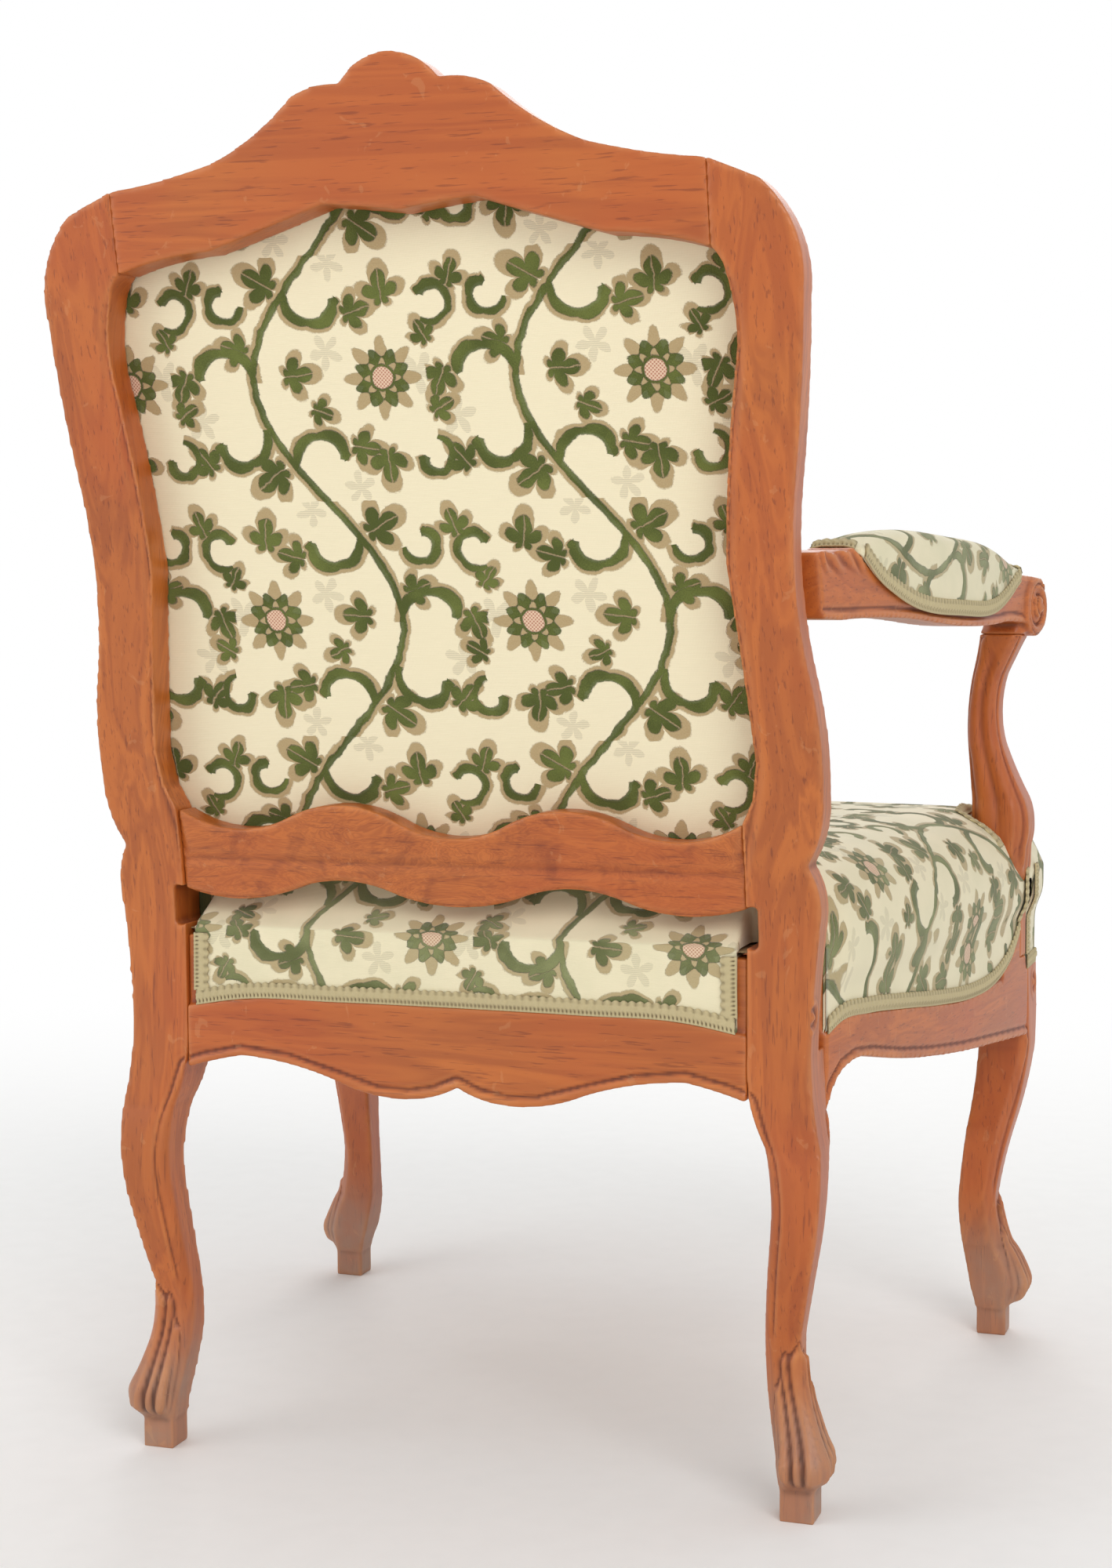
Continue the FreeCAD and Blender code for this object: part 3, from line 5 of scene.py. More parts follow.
import bpy
import numpy as np
from bpy.props import FloatProperty, FloatVectorProperty, IntProperty, PointerProperty
from mathutils import Euler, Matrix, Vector

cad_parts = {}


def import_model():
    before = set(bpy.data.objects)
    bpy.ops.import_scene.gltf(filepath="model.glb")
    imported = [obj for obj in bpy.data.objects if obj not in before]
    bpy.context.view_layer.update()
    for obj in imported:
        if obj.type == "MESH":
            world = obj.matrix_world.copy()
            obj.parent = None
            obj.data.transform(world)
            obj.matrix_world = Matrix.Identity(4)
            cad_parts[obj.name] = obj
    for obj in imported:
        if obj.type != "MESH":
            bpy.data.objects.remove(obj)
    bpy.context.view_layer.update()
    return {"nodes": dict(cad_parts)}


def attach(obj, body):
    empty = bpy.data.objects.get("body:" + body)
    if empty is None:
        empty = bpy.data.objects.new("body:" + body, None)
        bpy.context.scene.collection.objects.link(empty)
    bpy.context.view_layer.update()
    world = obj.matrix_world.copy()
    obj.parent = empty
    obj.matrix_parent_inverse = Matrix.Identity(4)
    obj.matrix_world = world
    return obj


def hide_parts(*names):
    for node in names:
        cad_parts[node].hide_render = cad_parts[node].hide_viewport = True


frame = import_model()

bl_info = {
    "name": "Carved open armchair",
    "version": (1, 0, 0),
    "blender": (4, 5, 0),
    "location": "View3D > Sidebar > Armchair",
    "description": "Dresses the armchair's frame with carving, cushions, covers and braid",
    "category": "Object",
}

NODES = frame["nodes"]
MM = 0.001
REAR_FACE = 226.74    # depth of the rear seat rail's back face in the frame, mm
SIDES = (("left", 1), ("right", -1))


# Sizes and colours

def colour(name, description, red, green, blue):
    """A colour property given as it looks, with 255 as its full value."""
    return FloatVectorProperty(name=name, description=description, subtype="COLOR", size=3,
                               min=0, max=1, default=linear(red, green, blue))


def linear(*levels):
    """Displayed levels, 0 to 255, as the linear ones that shaders use."""
    shares = [level / 255 for level in levels]
    return tuple(s / 12.92 if s < 0.04045 else ((s + 0.055) / 1.055) ** 2.4 for s in shares)


class WoodSettings(bpy.types.PropertyGroup):
    light: colour("Light grain", "Walnut between the growth rings", 191, 104, 38)
    dark: colour("Dark grain", "Walnut in the growth rings", 146, 68, 20)
    red: colour("Red patches", "Warmer walnut that drifts through the boards", 176, 76, 22)
    patina: colour("Patina", "Greyed wood where hands and dust reach", 152, 130, 114)
    beech: colour("Beech", "Hidden blocks and dowels", 205, 168, 118)
    grain: FloatProperty(name="Carving mesh", description="Edge length of the carved surface",
                         default=0.0017, min=0.0012, max=0.006, unit="LENGTH")
    groove: FloatProperty(name="Groove depth", description="Depth of the grooves on the frame",
                          default=0.0019, min=0.0, max=0.003, unit="LENGTH")
    leaf: FloatProperty(name="Leaf height", description="How far the carved leaves stand out",
                        default=0.0036, min=0.0, max=0.005, unit="LENGTH")


class ClothSettings(bpy.types.PropertyGroup):
    ground: colour("Ground", "Satin ground of the figured velvet", 240, 229, 196)
    # The dark and the lit green are one pile colour, painted in shade and in highlight: the lit
    # one is a painted highlight on the pile.
    pile: colour("Green pile", "Dark side of the green pile", 66, 80, 26)
    pile_highlight: colour("Green pile, lit", "Brushed side of the green pile", 104, 116, 52)
    shade: colour("Tan pile", "Low pile beside the green", 168, 142, 96)
    heart: colour("Flower heart", "Speckled centre of the flowers", 226, 196, 168)
    braid: colour("Braid", "Looped braid along the cover's edges", 226, 211, 166)
    repeat: FloatProperty(name="Repeat", description="Width of the pattern's repeat",
                          default=0.195, min=0.05, max=0.6, unit="LENGTH")
    row: FloatProperty(name="Row", description="Height of one row of flowers",
                       default=0.170, min=0.05, max=0.6, unit="LENGTH")


class CushionSettings(bpy.types.PropertyGroup):
    cells: IntProperty(name="Cells", description="Mesh cells along each side of a cushion",
                       default=64, min=32, max=96)
    pressure: FloatProperty(name="Pressure", description="Pressure that fills the cushions",
                            default=4.0, min=0.0, max=12.0)
    swell: FloatProperty(name="Swell", description="The most that filling moves the cover",
                         default=0.006, min=0.0, max=0.02, unit="LENGTH")


# Lines and surfaces

def mm(points):
    """Frame coordinates as millimetres from the rear rail's back face."""
    return np.asarray(points) / MM - (0, REAR_FACE, 0)


def metres(points):
    """Millimetres from the rear rail's back face as frame coordinates."""
    return (np.asarray(points) + (0, REAR_FACE, 0)) * MM


def line_at(points, place):
    """Height at the given places of a smooth line through points."""
    along, level = np.array(sorted(points), float).T
    slope = np.gradient(level, along)
    place = np.clip(place, along[0], along[-1])
    left = np.clip(np.searchsorted(along, place) - 1, 0, len(along) - 2)
    reach = along[left + 1] - along[left]
    t = (place - along[left]) / reach
    return ((2 * t ** 3 - 3 * t ** 2 + 1) * level[left]
            + (t ** 3 - 2 * t ** 2 + t) * reach * slope[left]
            + (3 * t ** 2 - 2 * t ** 3) * level[left + 1]
            + (t ** 3 - t ** 2) * reach * slope[left + 1])


def rise(start, end, value):
    """0 at start, 1 at end, smooth between them. Either may be the larger."""
    t = np.clip((value - start) / (end - start), 0, 1)
    return t * t * (3 - 2 * t)


def mound(value, middle, width):
    """A smooth hump of height 1 at middle."""
    return np.exp(-((value - middle) / width) ** 2)


def soft_min(first, second, blend):
    """The lower of two levels, with their meeting rounded over a blend width."""
    h = np.clip(0.5 + 0.5 * (second - first) / blend, 0, 1)
    return second * (1 - h) + first * h - blend * h * (1 - h)


def spaced(points, count):
    """Points at equal steps along an open line, count cells long."""
    points = np.asarray(points, float)
    run = np.concatenate([[0], np.cumsum(np.linalg.norm(np.diff(points, axis=0), axis=1))])
    at = np.linspace(0, run[-1], count + 1)
    return np.column_stack([np.interp(at, run, column) for column in points.T])


def distance_to(line, across, up):
    """Distance from points to an open line in one plane."""
    best = np.full(len(across), 1e9)
    for (x0, y0), (x1, y1) in zip(line, line[1:]):
        dx, dy = x1 - x0, y1 - y0
        t = np.clip(((across - x0) * dx + (up - y0) * dy) / (dx * dx + dy * dy + 1e-9), 0, 1)
        best = np.minimum(best, np.hypot(across - x0 - t * dx, up - y0 - t * dy))
    return best


def edge_along(height, place, low, high, step, pick):
    """Outline of a part, read from its points: pick (min or max) of place at each height."""
    levels = np.arange(low, high, step)
    found = [(pick(place[near]), level) for level in levels
             for near in [np.abs(height - level) < step] if near.any()]
    values = np.array([value for value, level in found])
    if len(values) > 4:
        values[1:-1] = (values[:-2] + 2 * values[1:-1] + values[2:]) / 4
    return [(value, level) for value, (_, level) in zip(values, found)]


# Pieces and their meshes

def finished(piece, material, slot, *nodes):
    """Puts a finish on a piece, ties it to the chair and hides the nodes it stands for."""
    piece.data.materials.clear()
    piece.data.materials.append(material)
    for face in piece.data.polygons:
        face.use_smooth = True
    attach(piece, "root")
    if nodes:
        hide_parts(*nodes)
    return piece


def new_piece(name, points, faces, uv=None):
    """A mesh object in the frame's coordinates, with a point's place on the cloth in metres."""
    mesh = bpy.data.meshes.new(name)
    mesh.from_pydata([tuple(p) for p in points], [], [tuple(int(i) for i in f) for f in faces])
    mesh.validate()
    if uv is not None:
        layer = mesh.uv_layers.new(name="cloth")
        corner = np.zeros(len(mesh.loops), int)
        mesh.loops.foreach_get("vertex_index", corner)
        layer.data.foreach_set("uv", np.asarray(uv, float)[corner].ravel())
    mesh.update()
    piece = bpy.data.objects.new(name, mesh)
    bpy.context.scene.collection.objects.link(piece)
    return piece


def coordinates(mesh):
    """A mesh's points as one array."""
    flat = np.zeros(len(mesh.vertices) * 3)
    mesh.vertices.foreach_get("co", flat)
    return flat.reshape(-1, 3)


def normals(mesh):
    """The way that a mesh faces at each of its points."""
    flat = np.zeros(len(mesh.vertices) * 3)
    mesh.vertex_normals.foreach_get("vector", flat)
    return flat.reshape(-1, 3)


def place_points(mesh, points):
    """Moves a mesh's points to new places."""
    mesh.vertices.foreach_set("co", np.asarray(points, float).ravel())
    mesh.update()


def shaped(piece):
    """Applies a piece's modifiers."""
    graph = bpy.context.evaluated_depsgraph_get()
    made = bpy.data.meshes.new_from_object(piece.evaluated_get(graph))
    piece.modifiers.clear()
    old, piece.data = piece.data, made
    bpy.data.meshes.remove(old)
    return piece


def neighbour_mean(mesh, points):
    """The mean of each point's neighbours."""
    ends = np.zeros(len(mesh.edges) * 2, int)
    mesh.edges.foreach_get("vertices", ends)
    first, second = ends.reshape(-1, 2).T
    count = np.bincount(ends, minlength=len(points)).clip(1)
    total = np.column_stack([
        np.bincount(first, column[second], len(points))
        + np.bincount(second, column[first], len(points)) for column in points.T])
    return total / count[:, None]


def paint(mesh, name, values):
    """Stores one number for each point, for a material to read."""
    layer = mesh.attributes.new(name, "FLOAT", "POINT")
    layer.data.foreach_set("value", np.asarray(values, np.float32))


def carved(node, field, voxel):
    """A finely meshed copy of a wooden node, with field(points, normals) as its relief in mm."""
    piece = bpy.data.objects.new(node + "_carved", NODES[node].data.copy())
    bpy.context.scene.collection.objects.link(piece)
    remesh = piece.modifiers.new("remesh", "REMESH")
    remesh.mode = "VOXEL"
    remesh.voxel_size = voxel
    ease = piece.modifiers.new("ease", "SMOOTH")
    ease.factor = 0.5
    ease.iterations = 4
    shaped(piece)
    mesh = piece.data
    points, facing = coordinates(mesh), normals(mesh)
    relief = field(mm(points), facing)
    points = points + facing * (relief * MM)[:, None]
    place_points(mesh, points)
    facing = normals(mesh)
    around = points
    for _ in range(3):
        around = neighbour_mean(mesh, around)
    fold = ((points - around) * facing).sum(1) / voxel
    paint(mesh, "edge", np.clip(fold * 2.2, 0, 1))
    paint(mesh, "hollow", np.clip(-fold * 3.0, 0, 1))
    return piece


# Shader building

class Value:
    """A socket that takes part in arithmetic: each operation adds a Math node."""

    def __init__(self, finish, socket):
        self.finish = finish
        self.socket = socket

    def __add__(self, other):
        return self.finish.math("ADD", self, other)

    def __sub__(self, other):
        return self.finish.math("SUBTRACT", self, other)

    def __rsub__(self, other):
        return self.finish.math("SUBTRACT", other, self)

    def __mul__(self, other):
        return self.finish.math("MULTIPLY", self, other)

    def __truediv__(self, other):
        return self.finish.math("DIVIDE", self, other)

    def __rtruediv__(self, other):
        return self.finish.math("DIVIDE", other, self)

    def __mod__(self, other):
        return self.finish.math("FLOORED_MODULO", self, other)

    def __pow__(self, other):
        return self.finish.math("POWER", self, other)

    def __lt__(self, other):
        return self.finish.math("LESS_THAN", self, other)

    def __gt__(self, other):
        return self.finish.math("GREATER_THAN", self, other)

    def __neg__(self):
        return self.finish.math("MULTIPLY", self, -1.0)

    def __abs__(self):
        return self.finish.math("ABSOLUTE", self)

    __radd__ = __add__
    __rmul__ = __mul__


class Finish:
    """One material and the nodes that make it."""

    def __init__(self, name, **constants):
        self.material = bpy.data.materials.new(name)
        self.material.use_nodes = True
        self.tree = self.material.node_tree
        self.tree.nodes.clear()
        self.surface = self.tree.nodes.new("ShaderNodeBsdfPrincipled")
        output = self.tree.nodes.new("ShaderNodeOutputMaterial")
        self.tree.links.new(self.surface.outputs[0], output.inputs[0])
        for name, value in constants.items():
            self.surface.inputs[name.replace("_", " ")].default_value = value

    def node(self, kind, settings, inputs, output=0):
        """Adds a node: its settings first, then its sockets' values or links."""
        made = self.tree.nodes.new("ShaderNode" + kind)
        for name, value in settings.items():
            if name == "stops":
                for index, (position, shade) in enumerate(value):
                    stops = made.color_ramp.elements
                    stop = stops[index] if index < 2 else stops.new(position)
                    stop.position = position
                    stop.color = (*shade, 1)
            else:
                setattr(made, name, value)
        for name, value in inputs.items():
            self.feed(made.inputs[name], value)
        return Value(self, made.outputs[output])

    def feed(self, socket, value):
        """Links a value to a socket, or sets a constant on it."""
        if isinstance(value, Value):
            self.tree.links.new(value.socket, socket)
        elif socket.type == "RGBA" and len(value) == 3:
            socket.default_value = (*value, 1)
        else:
            socket.default_value = value

    def math(self, operation, *values):
        return self.node("Math", {"operation": operation}, dict(enumerate(values)))

    def mix(self, share, first, second):
        """The first colour where share is 0, the second where it is 1."""
        return self.node("Mix", {"data_type": "RGBA"}, {0: share, 6: first, 7: second}, 2)

    def darker(self, shade, share, tint):
        """A colour multiplied by a tint, by a share."""
        return self.node("Mix", {"data_type": "RGBA", "blend_type": "MULTIPLY"},
                         {0: share, 6: shade, 7: tint}, 2)

    def smooth(self, value, low, high):
        """0 at low, 1 at high, smooth between."""
        return self.node("MapRange", {"interpolation_type": "SMOOTHSTEP"},
                         {"Value": value, "From Min": low, "From Max": high})

    def place(self):
        """The point's place on the object, in metres."""
        return self.node("TexCoord", {}, {}, 3)

    def scaled(self, vector, scale, turn=(0, 0, 0)):
        return self.node("Mapping", {}, {"Vector": vector, "Scale": scale, "Rotation": turn})

    def noise(self, vector, scale, detail=2.0, warp=0.0):
        return self.node("TexNoise", {}, {"Vector": vector, "Scale": scale, "Detail": detail,
                                          "Distortion": warp})

    def attribute(self, name):
        """A number painted on the mesh."""
        return self.node("Attribute", {"attribute_name": name}, {}, 2)

    def finish(self, shade, roughness, height, depth):
        """Feeds the surface: its colour, roughness and a relief of the given depth."""
        self.feed(self.surface.inputs["Base Color"], shade)
        self.feed(self.surface.inputs["Roughness"], roughness)
        bump = self.node("Bump", {}, {"Height": height, "Distance": depth, "Strength": 1.0})
        self.feed(self.surface.inputs["Normal"], bump)
        return self.material


FINISHES = {}


def walnut(axis, figure=0.0):
    """Polished walnut with its grain along an axis, and curled figure by a share."""
    name = "walnut_" + axis + ("_figured" if figure else "")
    if name in FINISHES:
        return FINISHES[name]
    wood = bpy.context.scene.chair_wood
    f = Finish(name, Coat_Weight=0.22, Coat_Roughness=0.3, IOR=1.48)
    along = {"x": (0.07, 1, 1), "y": (1, 0.07, 1), "z": (1, 1, 0.07)}[axis]
    where = f.place()
    stretched = f.scaled(where, tuple(s ** (1 - 0.75 * figure) for s in along))
    drift = f.noise(where, 5.0, 3.0)
    rings = f.noise(stretched, 34.0, 5.0, 0.8 + 5.0 * figure)
    bands = f.math("SINE", rings * (42.0 + 30.0 * figure) + drift * 9.0) * 0.5 + 0.5
    fibre = f.noise(f.scaled(where, tuple(s ** 1.3 for s in along)), 900.0, 3.0)
    pores = f.smooth(f.noise(f.scaled(where, along), 620.0, 2.0), 0.60, 0.70)
    scuffs = f.smooth(f.noise(f.scaled(where, (1, 3.0, 0.6), (0.4, 0.9, 0.2)), 70.0, 5.0, 1.0),
                      0.655, 0.69)
    edge, hollow = f.attribute("edge"), f.attribute("hollow")
    shade = f.mix(bands * 0.42 + f.smooth(rings, 0.35, 0.7) * 0.35, tuple(wood.light),
                  tuple(wood.dark))
    shade = f.mix(f.smooth(drift, 0.42, 0.66) * 0.5, shade, tuple(wood.red))
    if figure:
        knots = f.smooth(f.noise(where, 24.0, 5.0, 2.0), 0.50, 0.75)
        shade = f.darker(shade, knots * 0.45, linear(150, 98, 66))
    shade = f.darker(shade, pores * 0.45, linear(150, 112, 84))
    grime = f.smooth(f.noise(where, 22.0, 4.0), 0.35, 0.7)
    height = f.node("SeparateXYZ", {}, {"Vector": where}, 2)
    feet = f.smooth(height, 0.135, 0.03)
    shade = f.mix(feet * (grime * 0.35 + 0.45), shade, tuple(wood.patina))
    shade = f.darker(shade, hollow * 0.75, linear(112, 70, 44))
    shade = f.mix(edge * (0.22 + grime * 0.3), shade, linear(216, 142, 80))
    shade = f.mix(scuffs * 0.14, shade, linear(214, 160, 108))
    relief = fibre * 0.5 + bands * 0.25 - pores * 0.6
    FINISHES[name] = f.finish(shade, 0.40 + fibre * 0.12 + hollow * 0.2 + feet * 0.12,
                              relief, 0.00010)
    return FINISHES[name]


def plain_wood():
    """Bare beech of the blocks and dowels inside the seat."""
    if "beech" not in FINISHES:
        f = Finish("beech", IOR=1.45)
        where = f.place()
        fleck = f.smooth(f.noise(f.scaled(where, (1, 0.2, 1)), 700.0, 2.0), 0.56, 0.66)
        grain = f.noise(f.scaled(where, (0.15, 1, 1)), 120.0, 4.0, 1.0)
        shade = f.mix(f.smooth(grain, 0.3, 0.7), tuple(bpy.context.scene.chair_wood.beech),
                      linear(182, 140, 92))
        shade = f.darker(shade, fleck * 0.4, linear(150, 106, 70))
        FINISHES["beech"] = f.finish(shade, 0.6 + grain * 0.15, grain + fleck, 0.0001)
    return FINISHES["beech"]


def woven(name, light, dark, pitch):
    """Plain woven tape or sacking, its threads a pitch apart."""
    if name not in FINISHES:
        f = Finish(name)
        where = f.place()
        parts = [f.node("SeparateXYZ", {}, {"Vector": where}, axis) for axis in range(3)]
        warp = f.math("SINE", (parts[0] + parts[2]) * (math.tau / pitch))
        weft = f.math("SINE", (parts[1] + parts[2]) * (math.tau / pitch))
        weave = warp * weft * 0.5 + 0.5
        slub = f.noise(f.scaled(where, (1, 0.1, 1)), 300.0, 3.0)
        shade = f.mix(weave * 0.6 + slub * 0.4, linear(*dark), linear(*light))
        FINISHES[name] = f.finish(shade, 0.85 + slub * 0.1, weave + slub * 0.4, 0.0003)
    return FINISHES[name]


def brushed_steel():
    """Steel of the screws, with fine turning marks."""
    if "screw_steel" not in FINISHES:
        f = Finish("screw_steel", Metallic=1.0)
        marks = f.noise(f.place(), 900.0, 3.0)
        shade = f.mix(marks, linear(120, 116, 108), linear(170, 166, 158))
        FINISHES["screw_steel"] = f.finish(shade, 0.35 + marks * 0.2, marks, 0.00005)
    return FINISHES["screw_steel"]


# The figured velvet. Motifs are placed in millimetres in one row of the repeat; every other
# row is its mirror image.

FLOWER = (48.75, 85.0)
SCROLLS = (    # centre, radius, start angle, sweep, width, leafiness
    (95, 27, 24, -10, 175, 3.4, 3.2), (95, 143, 24, 10, -175, 3.4, 3.2),
    (173, 84, 27, 180, -165, 3.6, 3.4), (163, 44, 23, 160, 185, 3.4, 3.0),
    (10, 137, 15, 300, -270, 3.0, 1.6), (14, 30, 14, 100, 260, 3.0, 1.6),
    (166, 140, 14, 190, 255, 3.2, 1.8),
)
LEAVES = (     # centre, direction, size
    (70, 38, 190, 19), (71, 130, 165, 19), (200, 88, -70, 20), (186, 26, 50, 19),
    (133, 21, -35, 23), (131, 150, 30, 23), (118, 88, 175, 20), (49, 31, -95, 21),
    (46, 141, 85, 21), (155, 106, 20, 18), (192, 150, 110, 17), (10, 62, 150, 16),
    (100, 64, 200, 15), (16, 112, 60, 15),
)
SPRIGS = ((22, 88, 120, 15), (90, 104, 60, 13), (72, 10, -60, 12), (190, 58, 20, 14),
          (84, 164, 200, 12))


def pattern(f, u, v, width, row):
    """Distances to the green, tan and grey motifs, and the place in the flower."""
    wander = f.noise(f.node("CombineXYZ", {}, {0: u, 1: v}), 0.09, 2.0) * 5.0 - 2.5
    u, v = u + wander, v + wander * 0.6
    turned = f.math("FLOOR", v / row) % 2.0
    x = (u * (1.0 - turned * 2.0)) % width
    y = v % row

    def from_centre(cx, cy):
        across = (x - (cx - width / 2)) % width - width / 2
        up = y - cy
        return across, up, f.math("SQRT", across * across + up * up)

    bend = (y - FLOWER[1]) * (math.pi / row)
    vine_x = 97.5 + f.math("COSINE", bend) * 49.0
    aside = (x - vine_x + width / 2) % width - width / 2
    steep = f.math("SQRT", 1.0 + (f.math("SINE", bend) * 0.9) ** 2.0)
    green = abs(aside) / steep - 2.4
    fringe = abs(aside / steep - 2.8) - 2.4
    for cx, cy, radius, start, sweep, thick, leafy in SCROLLS:
        across, up, reach = from_centre(cx, cy)
        angle = f.math("ARCTAN2", up, across) * (180 / math.pi)
        turn = math.copysign(1.0, sweep)
        share = (((angle - start) * turn) % 360.0) / abs(sweep)
        coil = radius * (1.0 - share * 0.42)
        off = f.math("MAXIMUM", share - 1.0, 0.0) * 90.0
        fronds = abs(f.math("SINE", share * (abs(sweep) / 26.0))) * (reach > coil) * leafy
        arc = abs(reach - coil) - thick * (0.5 + share * 0.6) - fronds + off
        green = f.math("MINIMUM", green, arc)
        fringe = f.math("MINIMUM", fringe, abs(reach - coil - 2.2) - thick - fronds + off)
    for cx, cy, direction, size in LEAVES:
        across, up, reach = from_centre(cx, cy)
        angle = f.math("ARCTAN2", up, across) - math.radians(direction)
        lobes = abs(f.math("COSINE", angle * 2.5)) ** 0.7
        front = f.math("COSINE", angle * 0.5) ** 2.0
        limit = (0.40 + lobes * 0.60) * (0.34 + front * 0.66) * size
        vein = abs(f.math("SINE", angle) * reach) - 0.5
        leaf = f.math("MAXIMUM", (reach - limit * 0.86) * 0.7, -vein)
        green = f.math("MINIMUM", green, leaf)
        fringe = f.math("MINIMUM", fringe, (reach - limit * 1.22) * 0.7)
    sprig = 99.0
    for cx, cy, direction, size in SPRIGS:
        across, up, reach = from_centre(cx, cy)
        angle = f.math("ARCTAN2", up, across) - math.radians(direction)
        lobes = abs(f.math("COSINE", angle * 2.5))
        leaf = reach - size * (0.18 + lobes * 0.82)
        sprig = leaf if sprig == 99.0 else f.math("MINIMUM", sprig, leaf)
    across, up, reach = from_centre(*FLOWER)
    angle = f.math("ARCTAN2", up, across)
    petals = f.math("COSINE", angle * 8.0)
    outer = (reach - (22.0 + petals * 7.0)) * 0.7
    inner = abs(reach - 14.5) - (3.4 - petals * 3.0)
    heart = reach - 7.5
    ring = abs(reach - 8.6) - 0.9
    clear = 33.0 - reach
    green = f.math("MAXIMUM", green, clear)
    fringe = f.math("MAXIMUM", fringe, clear)
    green = f.math("MINIMUM", green, f.math("MINIMUM", inner, ring))
    fringe = f.math("MINIMUM", fringe, outer)
    return green, fringe, sprig, heart


def figured_velvet(name, fade):
    """Cut velvet scrolls on a satin ground; fade is the share of wear and dust."""
    if name in FINISHES:
        return FINISHES[name]
    cloth = bpy.context.scene.chair_cloth
    f = Finish(name, Sheen_Weight=0.25, Sheen_Roughness=0.4, IOR=1.4)
    flat = f.node("UVMap", {"uv_map": "cloth"}, {})
    u = f.node("SeparateXYZ", {}, {"Vector": flat}, 0) * 1000.0
    v = f.node("SeparateXYZ", {}, {"Vector": flat}, 1) * 1000.0
    green, fringe, sprig, heart = pattern(f, u, v, cloth.repeat / MM, cloth.row / MM)
    ribs = f.math("SINE", v * (math.tau / 0.9)) * 0.5 + 0.5
    threads = f.math("SINE", u * (math.tau / 0.75)) * 0.5 + 0.5
    tuft = f.noise(f.scaled(flat, (1, 0.6, 1)), 1500.0, 2.0)
    highlight_and_dust = f.noise(flat, 24.0, 3.0)
    jag = (tuft - 0.5) * 2.6
    pile = f.smooth(green + jag * 0.7, 0.5, -0.5)
    low = f.smooth(fringe + jag, 0.6, -0.6)
    speck = f.smooth(sprig + jag, 0.4, -0.4) * (ribs > 0.45)
    middle = f.smooth(heart, 0.5, -0.5)
    shade = f.darker(tuple(cloth.ground), ribs * 0.07 + threads * 0.05, linear(196, 176, 138))
    shade = f.mix(speck * 0.55, shade, linear(168, 156, 128))
    shade = f.mix(low * (0.72 + tuft * 0.3), shade, tuple(cloth.shade))
    # Painted highlight: noise patches turn the green pile to its lit copy. The same noise also
    # places the dust below.
    lit = f.smooth(highlight_and_dust + (tuft - 0.5) * 0.5, 0.35, 0.75)
    shade = f.mix(pile * 0.94, shade, f.mix(lit, tuple(cloth.pile), tuple(cloth.pile_highlight)))
    dots = f.math("SINE", u * 2.4) * f.math("SINE", v * 2.4) > 0.1
    shade = f.mix(middle, shade, f.mix(dots, tuple(cloth.heart), linear(184, 128, 104)))
    if fade:
        dust = f.smooth(highlight_and_dust, 0.25, 0.75) * fade
        shade = f.mix(dust * 0.75 + fade * 0.3, shade, linear(190, 190, 152))
    height = pile * (0.75 + tuft * 0.5) + low * 0.35 + ribs * 0.06 + threads * 0.04
    FINISHES[name] = f.finish(shade, 0.62 + pile * 0.26 + low * 0.15, height, 0.0011)
    return FINISHES[name]


def braid_cotton():
    """Cream cotton braid, each cord laid over the next, its gaps darkened as painted shade."""
    if "braid" not in FINISHES:
        f = Finish("braid", Sheen_Weight=0.1)
        flat = f.node("UVMap", {"uv_map": "cloth"}, {})
        along = f.node("SeparateXYZ", {}, {"Vector": flat}, 0) * 1000.0
        across = f.node("SeparateXYZ", {}, {"Vector": flat}, 1) * 1000.0
        ply = f.math("SINE", (along + across * 1.4) * (math.tau / 1.1)) * 0.5 + 0.5
        wool = f.noise(flat, 1800.0, 3.0)
        gap = f.attribute("gap")
        shade = f.mix(ply * 0.45 + wool * 0.3, tuple(bpy.context.scene.chair_cloth.braid),
                      linear(188, 168, 118))
        # Painted shade: darkens the gaps between the cords and between the loops.
        shade = f.mix(gap, shade, linear(98, 74, 44))
        FINISHES["braid"] = f.finish(shade, 0.8 + wool * 0.1, ply + wool * 0.5, 0.0003)
    return FINISHES["braid"]


# Carving, in millimetres from the rear rail's back face

REAR_UNDERSIDE = [(214, 295.5), (198, 300.5), (170, 306.8), (134, 303), (96, 293), (62, 283.2),
                  (38, 282.2), (16, 286), (0, 293)]
SIDE_UNDERSIDE = [(-42, 282), (-52, 299), (-68, 309.5), (-90, 313.5), (-120, 310), (-170, 300),
                  (-230, 291), (-300, 282.5), (-380, 275), (-493, 264)]
FRONT_UNDERSIDE = [(283, 264), (263, 282), (227, 290), (153, 284), (83, 272), (0, 264)]


def bead(distance):
    """An edge bead with a groove behind it."""
    depth = bpy.context.scene.chair_wood.groove / MM
    return (0.5 * mound(distance, 3.0, 2.2) - depth * mound(distance, 7.2, 1.7)
            - 0.35 * mound(distance, 11.5, 3.0))


